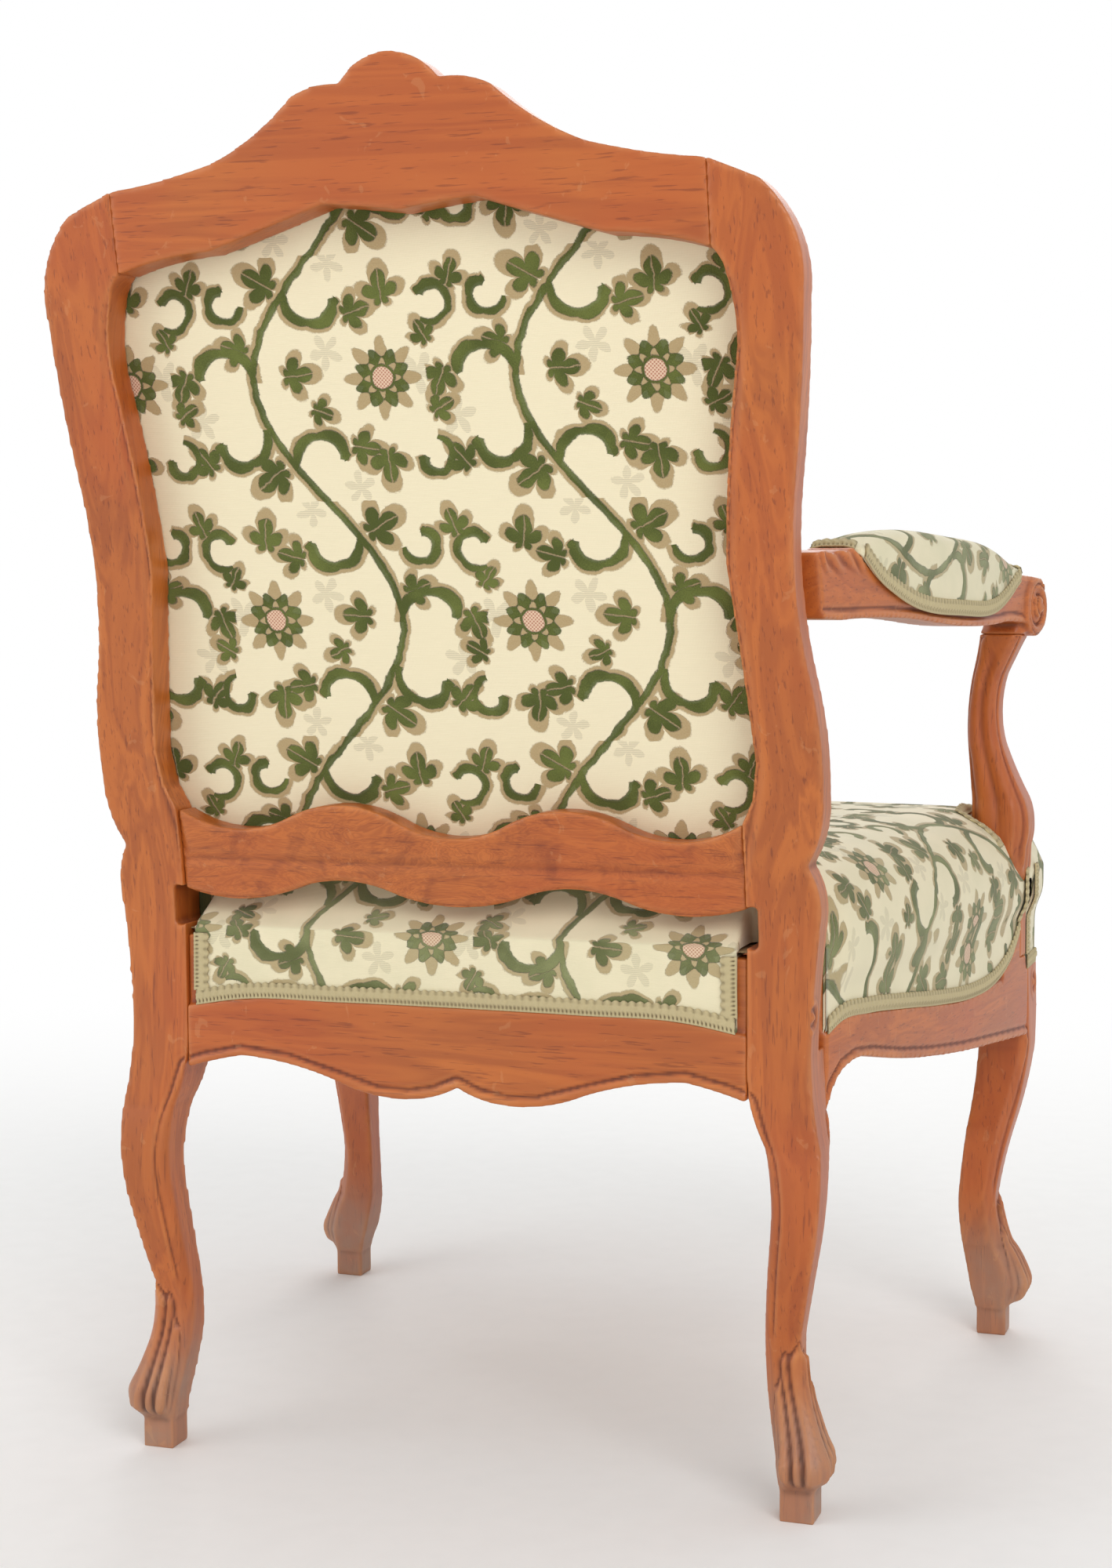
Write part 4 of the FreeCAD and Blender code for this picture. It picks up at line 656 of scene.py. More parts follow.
def leaf_cluster(points, corner, low, high, strength):
    """Fluted leaves that wrap one corner of a foot and end in points."""
    x, y, z = points.T
    inside = (z > low - 12) & (z < high + 12)
    relief = np.zeros(len(points))
    if not inside.any():
        return relief
    middle_x, middle_y = (
        np.polyval(np.polyfit(*np.transpose(swapped(middle_line(z, place, low, high + 16))), 3), z)
        for place in (x, y))
    angle = np.arctan2(y - middle_y, x - middle_x) - math.atan2(corner[1], corner[0])
    angle = (angle + math.pi) % (2 * math.pi) - math.pi
    across = angle * 20.0
    share = (z - low) / (high - low)
    tip = high - 0.052 * across ** 2 - 9 * np.abs(np.sin(across * math.pi / 13.0))
    body = rise(0, 5.0, tip - z) * rise(-2, 8, z - low) * rise(34, 25, np.abs(across))
    flute = 0.5 - 0.5 * np.cos(across * (1 + 0.2 * share) * 2 * math.pi / 9.6)
    rib = 1.0 + 0.35 * mound(across, 0, 2.2)
    swell = 0.65 + 0.9 * mound(share, 0.12, 0.16) + 0.3 * mound(share, 0.75, 0.2)
    relief = strength * body * (0.35 + 0.75 * flute) * rib * swell
    relief -= 1.0 * mound(tip - z, -1.5, 1.4) * rise(34, 22, np.abs(across)) * inside
    return relief * inside


def swapped(pairs):
    """The same pairs with their two numbers the other way round."""
    return [(second, first) for first, second in pairs]


def middle_line(height, place, low, high):
    """The middle of a part's outline at each height."""
    least = edge_along(height, place, low, high, 4.0, np.min)
    most = edge_along(height, place, low, high, 4.0, np.max)
    return [((a + b) / 2, level) for (a, level), (b, _) in zip(least, most)]


def spiral(across, up, radius, pitch, hand):
    """A rolled scroll cut in a round boss."""
    reach = np.hypot(across, up)
    turn = np.arctan2(up, across) * hand / (2 * math.pi)
    phase = (reach / pitch - turn) % 1.0
    groove = mound(np.minimum(phase, 1 - phase), 0, 0.13)
    eye = mound(reach, 0, 3.2)
    inside = rise(radius + 1, radius - 1.5, reach)
    return inside * (-2.0 * groove * rise(2.5, 5, reach) + 1.4 * eye
                     + 0.8 * np.sin(phase * math.pi) ** 0.7)


RAKE = math.radians(10.95)    # lean of the back
BEND = 421.0          # height where the back starts to lean, mm
PANEL_LAP = 7.0       # how far the outside panel reaches past the opening, mm


def up_the_back(points):
    """Height along the leaning rear face of the back, from the bend."""
    return points[:, 1] * math.sin(RAKE) + (points[:, 2] - BEND) * math.cos(RAKE)


def opening_edge(count, grow):
    """The opening in the back, or a line a distance outside it, as points at equal steps from
    its lower right corner, across and up the rear face."""
    points = mm(coordinates(NODES["outside_back_panel"].data))
    line = np.column_stack([points[:, 0], up_the_back(points)])
    centre = (line[:, 1].max() + line[:, 1].min()) / 2
    turn = (np.arctan2(line[:, 1] - centre, line[:, 0]) + math.pi / 4) % (2 * math.pi)
    line = line[np.argsort(turn)]
    line = line[np.insert(np.hypot(*np.diff(line, axis=0).T) > 0.5, 0, True)]
    line = spaced(np.vstack([line, line[:1]]), count)[:-1]
    tangent = np.roll(line, -1, axis=0) - np.roll(line, 1, axis=0)
    outward = np.column_stack([tangent[:, 1], -tangent[:, 0]])
    outward /= np.linalg.norm(outward, axis=1)[:, None]
    return line + outward * (grow - PANEL_LAP), centre


def rounded_opening(points, facing):
    """The rounded edge that runs round the opening, on the back's rear face."""
    edge, _ = opening_edge(240, 0.0)
    near = np.flatnonzero(facing[:, 1] > 0.3)
    gap = distance_to(np.vstack([edge, edge[:1]]), points[near, 0], up_the_back(points[near]))
    relief = np.zeros(len(points))
    relief[near] = -2.4 * rise(7.0, -1.0, gap) * rise(0.35, 0.8, facing[near, 1])
    return relief


def post_relief(points, facing):
    """Edge beads on the legs below the seat, the knee scroll and the leaves on the foot."""
    x, y, z = points.T
    hand = np.sign(x.mean())
    rearward = rise(0.5, 0.8, facing[:, 1])
    outward = rise(0.5, 0.8, facing[:, 0] * hand)
    leg = z < 296
    inner = edge_along(z[leg], np.abs(x[leg]), 40, 292, 6.0, np.min)
    front = edge_along(z[leg], y[leg], 40, 286, 6.0, np.min)
    relief = rearward * bead(distance_to(inner + REAR_UNDERSIDE[:2], np.abs(x), z)) * (z < 330)
    relief += outward * bead(distance_to(front + SIDE_UNDERSIDE[:2], y, z)) * (z < 330)
    relief *= rise(120, 140, z)
    knee = np.hypot(y + 4, z - 357)
    relief += outward * 1.2 * np.cos(knee * 0.55) * rise(15, 8, knee)
    leaf = bpy.context.scene.chair_wood.leaf / MM
    relief += leaf_cluster(points, (hand, 1.0), 27, 128, leaf)
    return relief + rounded_opening(points, facing)


def front_leg_relief(points, facing):
    """Edge beads, knee scroll and foot leaves of a front leg."""
    x, y, z = points.T
    hand = np.sign(x.mean())
    forward = rise(0.5, 0.8, -facing[:, 1])
    outward = rise(0.5, 0.8, facing[:, 0] * hand)
    leg = z < 262
    inner = edge_along(z[leg], np.abs(x[leg]), 40, 258, 6.0, np.min)
    back = edge_along(z[leg], y[leg], 40, 258, 6.0, np.max)
    relief = forward * bead(distance_to(inner + FRONT_UNDERSIDE[:1], np.abs(x), z)) * (z < 300)
    relief += outward * bead(distance_to(back + SIDE_UNDERSIDE[-1:], y, z)) * (z < 300)
    relief *= rise(116, 136, z)
    knee = np.hypot(y + 522, z - 305)
    relief += outward * 1.3 * np.cos(knee * 0.5) * rise(17, 9, knee)
    knee = np.hypot(np.abs(x) - 312, z - 305)
    relief += forward * 1.3 * np.cos(knee * 0.5) * rise(17, 9, knee)
    leaf = bpy.context.scene.chair_wood.leaf / MM
    return relief + leaf_cluster(points, (hand, -1.0), 27, 124, leaf)


def rail_relief(points, facing):
    """Beads along the lower edges of the seat rails, and the flower on the front one."""
    x, y, z = points.T
    low = z < 340
    if np.abs(x).max() - np.abs(x).min() > 150 and y.mean() > -60:
        return bead(distance_to(REAR_UNDERSIDE, np.abs(x), z)) * rise(0.5, 0.8, facing[:, 1]) * low
    if y.mean() < -450:
        relief = bead(distance_to(FRONT_UNDERSIDE, np.abs(x), z))
        reach, turn = np.hypot(x, z - 290), np.arctan2(z - 290, x)
        flower = rise(21, 17, reach * (1.15 - 0.18 * np.cos(6 * turn)))
        relief += flower * (1.6 + 0.9 * np.cos(6 * turn) * rise(4, 10, reach)
                            - 1.2 * mound(reach, 5.5, 1.2))
        return relief * rise(0.5, 0.8, -facing[:, 1]) * low
    hand = np.sign(x.mean())
    return bead(distance_to(SIDE_UNDERSIDE, y, z)) * rise(0.5, 0.8, facing[:, 0] * hand) * low


def crest_relief(points, facing):
    """The shell on the front of the crest, its edge moulding and the rounded opening."""
    x, y, z = points.T
    forward = rise(0.35, 0.75, -facing[:, 1])
    reach, turn = np.hypot(x, z - 925), np.arctan2(x, z - 925)
    shell = rise(64, 56, reach) * rise(10, 16, reach) * rise(1.5, 1.2, np.abs(turn))
    relief = forward * shell * (1.5 + 1.3 * np.cos(turn * 12))
    relief += forward * (1.5 * mound(reach, 0, 8) - 1.2 * mound(reach, 12.5, 1.6))
    spray_x, spray_z = np.abs(x) - 105, z - (915 - 0.10 * (np.abs(x) - 105))
    spray = rise(42, 30, np.hypot(spray_x, spray_z * 2.6))
    relief += forward * spray * (1.3 + 0.9 * np.cos(spray_x * 0.28 + np.abs(spray_z) * 0.3))
    upper = edge_along(np.abs(x), z, 4, 212, 6.0, np.max)
    rim = distance_to(swapped(upper), np.abs(x), z)
    relief += forward * bead(rim)
    scallop = rise(0.3, 0.7, facing[:, 2]) * rise(52, 40, np.abs(x)) * rise(-20, -32, y)
    relief += scallop * (0.9 * np.cos(x * 0.5) - 0.5)
    return relief + rounded_opening(points, facing)


def lower_rail_relief(points, facing):
    """A softened lower edge on the lower back rail, and the rounded opening."""
    x, _, z = points.T
    lower = edge_along(np.abs(x), z, 2, 208, 6.0, np.min)
    edge = distance_to(swapped(lower), np.abs(x), z)
    rearward = rise(0.5, 0.8, facing[:, 1])
    return rearward * (-1.4 * rise(4, 0, edge)) + rounded_opening(points, facing) * 0.6


def arm_relief(points, facing):
    """Side mouldings, the leaf at the root and the scroll at the end of an arm."""
    x, y, z = points.T
    sideways = rise(0.45, 0.8, np.abs(facing[:, 0]))
    under = edge_along(-y, z, 0, 400, 7.0, np.min)
    edge = distance_to([(-level, value) for value, level in under], y, z)
    relief = sideways * bead(edge) * rise(-408, -396, y)
    hand = np.sign(x.mean()) * np.sign(facing[:, 0])
    relief += sideways * spiral(y + 432, z - 630, 23.0, 8.2, hand) * rise(-404, -410, y)
    crown = edge_along(-y, z, 8, 60, 6.0, np.max)
    top = distance_to([(-level, value) for value, level in crown], y, z)
    root = rise(-72, -50, y) * rise(16, 8, top)
    relief += sideways * root * (1.1 * np.cos((y + 30) * 0.33 + top * 0.35) + 0.3)
    upward = rise(0.5, 0.85, facing[:, 2])
    relief += upward * rise(-70, -46, y) * 1.1 * np.cos((y + 26) * 0.30)
    return relief


def support_relief(points, facing):
    """Grooves down both edges of an arm support and a leaf at its foot."""
    x, y, z = points.T
    sideways = rise(0.5, 0.8, np.abs(facing[:, 0]))
    rear = edge_along(z, y, 410, 600, 7.0, np.max)
    front = edge_along(z, y, 410, 600, 7.0, np.min)
    relief = sideways * (bead(distance_to(rear, y, z)) + bead(distance_to(front, y, z)))
    backward = rise(0.5, 0.85, facing[:, 1])
    middle = line_at(swapped(middle_line(z, x, 415, 600)), z)
    relief -= backward * 1.3 * mound(x - middle, 0, 3.5) * rise(430, 470, z) * rise(600, 570, z)
    relief *= rise(405, 425, z)
    foot = rise(455, 430, z) * rise(404, 414, z)
    return relief + foot * sideways * (0.9 * np.cos((y + 455) * 0.38))


WOODEN = (    # node, grain, figure, relief
    ("crest_rail", "x", 0.0, crest_relief), ("lower_back_rail", "x", 0.75, lower_rail_relief),
    ("rear_seat_rail", "x", 0.0, rail_relief), ("front_seat_rail", "x", 0.0, rail_relief),
    ("rear_post", "z", 0.0, post_relief), ("side_seat_rail", "y", 0.0, rail_relief),
    ("front_leg", "z", 0.0, front_leg_relief), ("arm", "y", 0.0, arm_relief),
    ("arm_support", "z", 0.0, support_relief),
)


def carve_frame():
    """Carves every member of the frame and gives it its polished finish."""
    voxel = bpy.context.scene.chair_wood.grain * 1.0
    for name, grain, figure, field in WOODEN:
        for node in [n for n in (name, name + "_left", name + "_right") if n in NODES]:
            finished(carved(node, field, voxel), walnut(grain, figure), "walnut", node)


# Cushions: a grid that fills an outline, walls below it and a flat underside

def perimeter(cells):
    """For each grid point: its ring, from 0 to 1, and its place along the outline, in cells."""
    half = cells / 2
    a, b = np.meshgrid(np.arange(cells + 1) - half, np.arange(cells + 1) - half, indexing="ij")
    ring = np.maximum(np.abs(a), np.abs(b))
    safe = np.maximum(ring, 1e-9)
    a, b = a / safe, b / safe
    along = np.where(a >= 1 - 1e-9, (b + 1) / 2, np.where(
        b >= 1 - 1e-9, 1 + (1 - a) / 2, np.where(
            a <= -1 + 1e-9, 2 + (1 - b) / 2, 3 + (a + 1) / 2)))
    return ring / half, (along * cells) % (4 * cells)


def grid_faces(cells):
    """The faces of a square grid, as indices of its points."""
    index = np.arange((cells + 1) ** 2).reshape(cells + 1, cells + 1)
    return np.stack([index[:-1, :-1], index[1:, :-1], index[1:, 1:], index[:-1, 1:]],
                    -1).reshape(-1, 4)


def border(cells):
    """Grid indices of the outline's points, in order."""
    index = np.arange((cells + 1) ** 2).reshape(cells + 1, cells + 1)
    return np.concatenate([index[-1, :-1], index[::-1, -1][:-1], index[0, ::-1][:-1],
                           index[:-1, 0]])


def cushion(outline, middle, top, walls, floor, skip=None, tucked=0):
    """A closed cushion. outline has four sides of equal count, top(points) gives the crowned
    surface, walls are loops below it, and floor is the loop that the underside fills. Cells in
    skip have no walls after the first tucked loops."""
    count = len(outline)
    cells = count // 4
    ring, along = perimeter(cells)
    closed = np.vstack([outline, outline[:1]])
    place = np.column_stack([np.interp(along.ravel(), np.arange(count + 1), column)
                             for column in closed.T])
    flat = middle + (place - middle) * ring.ravel()[:, None]
    points = [top(flat)]
    faces = [grid_faces(cells)]
    loop = border(cells)
    used = len(flat)
    back = np.roll(np.arange(count), -1)
    levels = [loop]
    for wall in walls:
        levels.append(used + np.arange(count))
        points.append(wall)
        used += count
    shown = np.ones(count, bool) if skip is None else ~skip
    for depth, (upper, lower) in enumerate(zip(levels, levels[1:])):
        keep = shown if tucked <= depth < len(levels) - 1 - tucked else np.ones(count, bool)
        quads = np.stack([upper, lower, lower[back], upper[back]], -1)
        faces.append(quads[keep])
    if skip is not None:
        first, last = levels[tucked], levels[len(levels) - 1 - tucked]
        faces.append(np.stack([first, last, last[back], first[back]], -1)[skip])
        for column in np.flatnonzero(shown != np.roll(shown, 1)):
            chain = levels[tucked:len(levels) - tucked]
            for step in range((len(chain) - 1) // 2):
                quad = [chain[step][column], chain[step + 1][column],
                        chain[-2 - step][column], chain[-1 - step][column]]
                faces.append(np.array([quad if shown[column] else quad[::-1]]))
    base = floor(flat)
    under = used + np.arange(len(base))
    points.append(base)
    faces.append(under[grid_faces(cells)[:, ::-1]])
    faces.append(np.stack([levels[-1], under[loop], under[loop][back], levels[-1][back]], -1))
    return np.vstack(points), np.vstack(faces)


def fill(piece, held, swell):
    """Inflates a cushion with a cloth simulation, its held points kept, and caps its movement."""
    mesh = piece.data
    rest = coordinates(mesh)
    group = piece.vertex_groups.new(name="held")
    group.add([int(i) for i in np.flatnonzero(held)], 1.0, "REPLACE")
    cloth = piece.modifiers.new("filling", "CLOTH")
    cloth.settings.quality = 6
    cloth.settings.mass = 0.4
    cloth.settings.use_pressure = True
    cloth.settings.uniform_pressure_force = bpy.context.scene.chair_cushion.pressure
    cloth.settings.effector_weights.gravity = 0
    cloth.settings.vertex_group_mass = "held"
    for number in range(1, 21):
        bpy.context.scene.frame_set(number)
    graph = bpy.context.evaluated_depsgraph_get()
    moved = coordinates(piece.evaluated_get(graph).data) - rest
    piece.modifiers.clear()
    bpy.context.scene.frame_set(1)
    length = np.linalg.norm(moved, axis=1).clip(1e-9)
    place_points(mesh, rest + moved * np.minimum(1, swell / length)[:, None])
    return piece


def divided(piece):
    """One round of subdivision, applied."""
    finer = piece.modifiers.new("finer", "SUBSURF")
    finer.levels = finer.render_levels = 1
    return shaped(piece)


# The seat, in millimetres from the rear rail's back face

POST_FACE = -42.0           # front faces of the rear posts
POST_CLEAR = -42.6          # the cover's edge in front of them
CHEEK = 206.6               # half width of the cover between the rear posts
CORNER = 259.7              # half width of the cover where it meets a post's front
SEAT_REAR = -1.4            # the cover's rear edge, above the rear rail
HALF_FRONT = 331.0          # half width of the seat at the front legs
SWELL = 5.5                 # how far the cover stands past the rails
APRON_LAP = 6.9             # how far the cover's lower edge is drawn in below the swell
SHELF = 401.4               # level where the cover turns down over the rails
FRONT_LOW = 322.0           # lower edge of the cover at the front
SIDE_ROLL = (76.0, 54.0)    # reach and height of the rounded side edges
FRONT_ROLL = (66.0, 50.0)   # reach and height of the rounded front edge
STOPS = (-487.2, -464.8)    # depths between which an arm support's wood shows at the side
SEAT_MIDDLE = np.array([0.0, -290.0])
SUPPORT = (314.0, -455.0)   # middle of an arm support's foot
SUPPORT_HALF = (25.2, 29.2)    # half its width and depth, with clearance


def side_x(y):
    """Half width of the seat at a depth, bowed along the side rails."""
    t = (POST_FACE - y) / 451
    return np.where(y < -493, HALF_FRONT, 261 + 70 * t + 32 * t * (1 - t))


def drawn_in(y):
    """How far the cover is drawn in beside the rear posts."""
    return APRON_LAP * rise(-66, -43, y)


def cover_side(y):
    """Half width of the seat's cover at a depth."""
    return side_x(y) + SWELL - drawn_in(y)


def front_edge(x, half=HALF_FRONT):
    """How far the cover's front edge is in front of the rear face."""
    return 565.5 - 19.5 * (np.abs(x) / half) ** 2


def rolled(edge, roll):
    """Height gained on a rounded edge, by the distance in from its outside."""
    reach, height = roll
    return height * np.sqrt(1 - (1 - np.clip(edge / reach, 0, 1)) ** 2)


REAR_LINE = [(0, 351.5), (94, 351), (170, 349.5), (214, 342)]
SIDE_LINE = [(-42, 339), (-62, 345), (-110, 344), (-170, 337.8), (-250, 328.3), (-330, 322),
             (-375, 323), (-413, 330), (-441, 341), (-458, 353), (-465, 358)]
WAIST = 409.0    # level where the cover's sides start to round over
ROOF = [(-1.4, 404), (-14, 411), (-28, 420), (-44, 436), (-70, 453), (-120, 462), (-200, 469),
        (-300, 470), (-400, 468), (-470, 460)]


def seat_top(flat):
    """The crowned surface of the seat over points of its plan."""
    x, y = flat.T
    edge = np.maximum(cover_side(np.minimum(y, POST_FACE)) - np.abs(x), 0)
    across = WAIST + rolled(edge, SIDE_ROLL) + 7 * rise(60, 260, edge)
    front = front_edge(x) + y
    forward = WAIST + rolled(front, FRONT_ROLL) + 12 * rise(0.8, 1, front / FRONT_ROLL[0])
    level = soft_min(soft_min(line_at(ROOF, y), across, 7.0), forward, 7.0)
    return metres(np.column_stack([x, y, level]))


def slack(place, level):
    """How much longer the cloth over a rounded edge is than its plan, from each place inwards."""
    run = np.concatenate([[0], np.cumsum(np.hypot(np.diff(place), np.diff(level)))])
    return (run[-1] - run) - (place[-1] - place)


def seat_outline():
    """The seat's plan, with corners cut for the rear posts, and what lies below each cell: the
    side, front or rear apron, bare wood under an arm support, or a corner's cut."""
    parts = [(-546.0, STOPS[0], 6), (*STOPS, 3), (STOPS[1], POST_CLEAR, 47)]
    right = []
    for start, end, count in parts:
        y = np.linspace(start, end, count + 1)[:-1]
        right += list(zip(cover_side(y), y))
    corner, inner, end = (CORNER, POST_CLEAR), (CHEEK, POST_CLEAR), (CHEEK, SEAT_REAR)
    notch = [tuple(p) for p in spaced([corner, inner], 8)[:-1]]
    cheek = [tuple(p) for p in spaced([inner, end], 6)[:-1]]
    rear = [tuple(p) for p in spaced([end, (-CHEEK, SEAT_REAR)], 52)[:-1]]
    far_cheek = [(-x, y) for x, y in [end] + cheek[:0:-1]]
    left = [(-x, y) for x, y in [inner] + notch[:0:-1] + [corner] + right[:0:-1]]
    half = HALF_FRONT + SWELL
    x = np.linspace(-half, half, 65)[:-1]
    front = list(zip(x, -front_edge(x, half)))
    kinds = (["side"] * 6 + ["bare"] * 3 + ["side"] * 47 + ["cut"] * 8 + ["cut"] * 6
             + ["rear"] * 52 + ["cut"] * 6 + ["cut"] * 8 + ["side"] * 47 + ["bare"] * 3
             + ["side"] * 6 + ["front"] * 64)
    return np.array(right + notch + cheek + rear + far_cheek + left + front), np.array(kinds)


def seat_cloth(flat, grid, is_rear, is_side, is_front):
    """Where each of the seat's points lies on its flat cloth: rounded edges are rolled out and
    the walls, which follow the first grid points, are laid beside them."""
    sheet = flat[:, :2].copy()
    edge = cover_side(np.minimum(flat[:, 1], POST_FACE)) - np.abs(flat[:, 0])
    reach = np.linspace(0, SIDE_ROLL[0], 77)
    near_side = rise(-30, -75, flat[:, 1])
    sheet[:, 0] += np.sign(flat[:, 0]) * near_side * np.interp(
        edge, reach, slack(reach, rolled(reach, SIDE_ROLL)))
    depth = np.linspace(-160, SEAT_REAR, 80)
    rounding = slack(-depth[::-1], line_at(ROOF, depth[::-1]))[::-1]
    sheet[:, 1] += np.interp(flat[:, 1], depth, rounding)
    reach = np.linspace(0, FRONT_ROLL[0], 67)
    sheet[:, 1] -= np.interp(front_edge(flat[:, 0]) + flat[:, 1], reach,
                             slack(reach, rolled(reach, FRONT_ROLL)))
    drop = WAIST - flat[grid:, 2]
    column = np.arange(len(drop)) % len(is_rear)
    rear_wall, side_wall = is_rear[column], is_side[column]
    front_wall = is_front[column] & ~side_wall
    sheet[grid:, 0] += np.where(side_wall, np.sign(flat[grid:, 0]) * drop, 0)
    sheet[grid:, 1] += np.where(rear_wall, drop, 0) - np.where(front_wall, drop, 0)
    return sheet


def seat_cushion(cushions):
    """The stuffed seat and the cover's apron over the rails, as one closed form."""
    outline, kinds = seat_outline()
    count = len(outline)
    x, y = outline.T
    previous = np.roll(kinds, 1)
    is_rear = (kinds == "rear") | (previous == "rear")
    is_front = (kinds == "front") | (previous == "front")
    is_side = ((kinds == "side") | (previous == "side")) & ~is_front
    inward = np.zeros((count, 2))
    inward[is_side, 0] = -np.sign(x[is_side])
    inward[is_front, 1] = 1
    corner = is_front & ((kinds == "side") | (previous == "side"))
    inward[corner, 0] = -np.sign(x[corner])
    low = np.where(is_rear, line_at(REAR_LINE, np.abs(x)), SHELF)
    low = np.where(is_side, np.where(y > -465, line_at(SIDE_LINE, y), FRONT_LOW), low)
    low = np.where(is_front, FRONT_LOW, low)
    edge_level = mm(seat_top(outline))[:, 2]

    def loop(level, inset):
        lap = (APRON_LAP - drawn_in(y)) * rise(386, 364, level)
        lap = np.where(is_rear, 0, lap) + inset
        move = inward * lap[:, None]
        move[is_rear & ~is_front, 1] -= inset
        return metres(np.column_stack([outline + move, level]))

    shelf = np.full(count, SHELF)
    walls = [loop(np.minimum(edge_level, WAIST) * 0.5 + shelf * 0.5, 0.0), loop(shelf, 0.0)]
    steps = np.linspace(0, 1, 11)[1:]
    walls += [loop(shelf + (low - shelf) * s, 0.0) for s in steps]
    walls += [loop(shelf + (low - shelf) * s, 1.9) for s in steps[::-1]]
    walls += [loop(shelf, 1.9), loop(shelf, 2.6)]
    skip = (kinds == "bare") | (kinds == "cut")

    def floor(flat):
        inside = SEAT_MIDDLE + (flat - SEAT_MIDDLE) * 0.985
        return metres(np.column_stack([inside, np.full(len(flat), SHELF)]))

    points, faces = cushion(outline, SEAT_MIDDLE, seat_top, walls, floor, skip, 2)
    flat = mm(points)
    grid = (count // 4 + 1) ** 2
    sheet = seat_cloth(flat, grid, is_rear, is_side, is_front)
    piece = new_piece("seat_cushion", points, faces, (sheet + (30.0, 62.0)) * MM)
    held = flat[:, 2] < 408
    held[grid:] = True
    fill(piece, held, cushions.swell)
    clear_of_wood(piece)
    divided(piece)
    return piece


def clear_of_wood(piece):
    """Moves the seat's cover off the arm supports and the rear posts."""
    points = mm(coordinates(piece.data))
    x, y, z = points.T
    (wide, deep), level = SUPPORT_HALF, 401.2
    across, along = np.abs(x) - SUPPORT[0], y - SUPPORT[1]
    inside = (np.abs(across) < wide) & (np.abs(along) < deep) & (z > level)
    to_inner, to_ends = across + wide, deep - np.abs(along)
    drop = z - level
    inner = inside & (to_inner <= np.minimum(to_ends, drop))
    ends = inside & ~inner & (to_ends <= drop)
    down = inside & ~inner & ~ends
    x = np.where(inner, np.sign(x) * (SUPPORT[0] - wide), x)
    y = np.where(ends, SUPPORT[1] + np.sign(along) * deep, y)
    z = np.where(down, level, z)
    post = (np.abs(x) > CHEEK) & (y > -42.2) & (y < 2) & (z > 401.5)
    x = np.where(post, np.sign(x) * CHEEK, x)
    place_points(piece.data, metres(np.column_stack([x, y, z])))


def on_back(across, up, depth):
    """Points of the leaning back: across, up along its rear face from the bend, and depth."""
    y = up * math.sin(RAKE) - depth * math.cos(RAKE)
    z = BEND + up * math.cos(RAKE) + depth * math.sin(RAKE)
    return metres(np.column_stack([across, y, z]))


def back_cushion(cushions):
    """The padded inside back, crowned towards the sitter."""
    cells = cushions.cells // 2 * 2
    outline, centre = opening_edge(4 * cells, 9.0)
    middle = np.array([0.0, centre])
    scale = np.linalg.norm(outline - middle, axis=1)

    def ring_of(flat):
        offset = flat - middle
        angle = np.arctan2(offset[:, 1], offset[:, 0])
        known = np.arctan2(outline[:, 1] - centre, outline[:, 0])
        order = np.argsort(known)
        limit = np.interp(angle, known[order], scale[order], period=2 * math.pi)
        return limit, np.linalg.norm(offset, axis=1) / limit

    def top(flat):
        limit, ring = ring_of(flat)
        edge = (1 - ring) * limit
        depth = 43.0 + rolled(edge, (62.0, 25.0)) + 9.0 * rise(40, 210, edge)
        return on_back(flat[:, 0], flat[:, 1], depth)

    walls = [on_back(outline[:, 0], outline[:, 1], np.full(len(outline), depth))
             for depth in (39.0, 34.8)]

    def floor(flat):
        inside = middle + (flat - middle) * 0.99
        return on_back(inside[:, 0], inside[:, 1], np.full(len(flat), 32.6))

    points, faces = cushion(outline, middle, top, walls, floor)
    flat = mm(points)
    sheet = np.column_stack([-flat[:, 0], flat[:, 2]]) * MM
    piece = new_piece("inside_back_cushion", points, faces, sheet)
    held = np.ones(len(points), bool)
    held[:(cells + 1) ** 2] = False
    held[border(cells)] = True
    fill(piece, held, cushions.swell)
    return divided(piece)


def back_panel():
    """The outside back: one sheet of velvet stretched over the opening, slightly full."""
    outline, centre = opening_edge(192, 6.4)
    middle = np.array([0.0, centre])

    def face(depth, bow):
        def surface(flat):
            offset = np.abs(flat - middle) / (215.0, 200.0)
            full = bow * np.prod(np.clip(1 - offset ** 2, 0, 1), axis=1)
            pull = 0.35 * np.sin(flat[:, 0] * 0.11) * rise(0.8, 1.0, offset[:, 1])
            return on_back(flat[:, 0], flat[:, 1], depth - full - pull)
        return surface

    points, faces = cushion(outline, middle, face(28.5, 4.0), [], face(29.7, 4.0))
    flat = mm(points)
    up = (flat[:, 2] - BEND) / math.cos(RAKE)
    sheet = np.column_stack([flat[:, 0] + 17.0, up + 45.0]) * MM
    piece = new_piece("outside_back_velvet", points, faces, sheet)
    divided(piece)
    size = (outline.max(0) - outline.min(0)) * MM
    area = 0.5 * abs(np.sum(outline[:, 0] * np.roll(outline[:, 1], -1)
                            - outline[:, 1] * np.roll(outline[:, 0], -1))) * MM * MM
    return piece, size, area


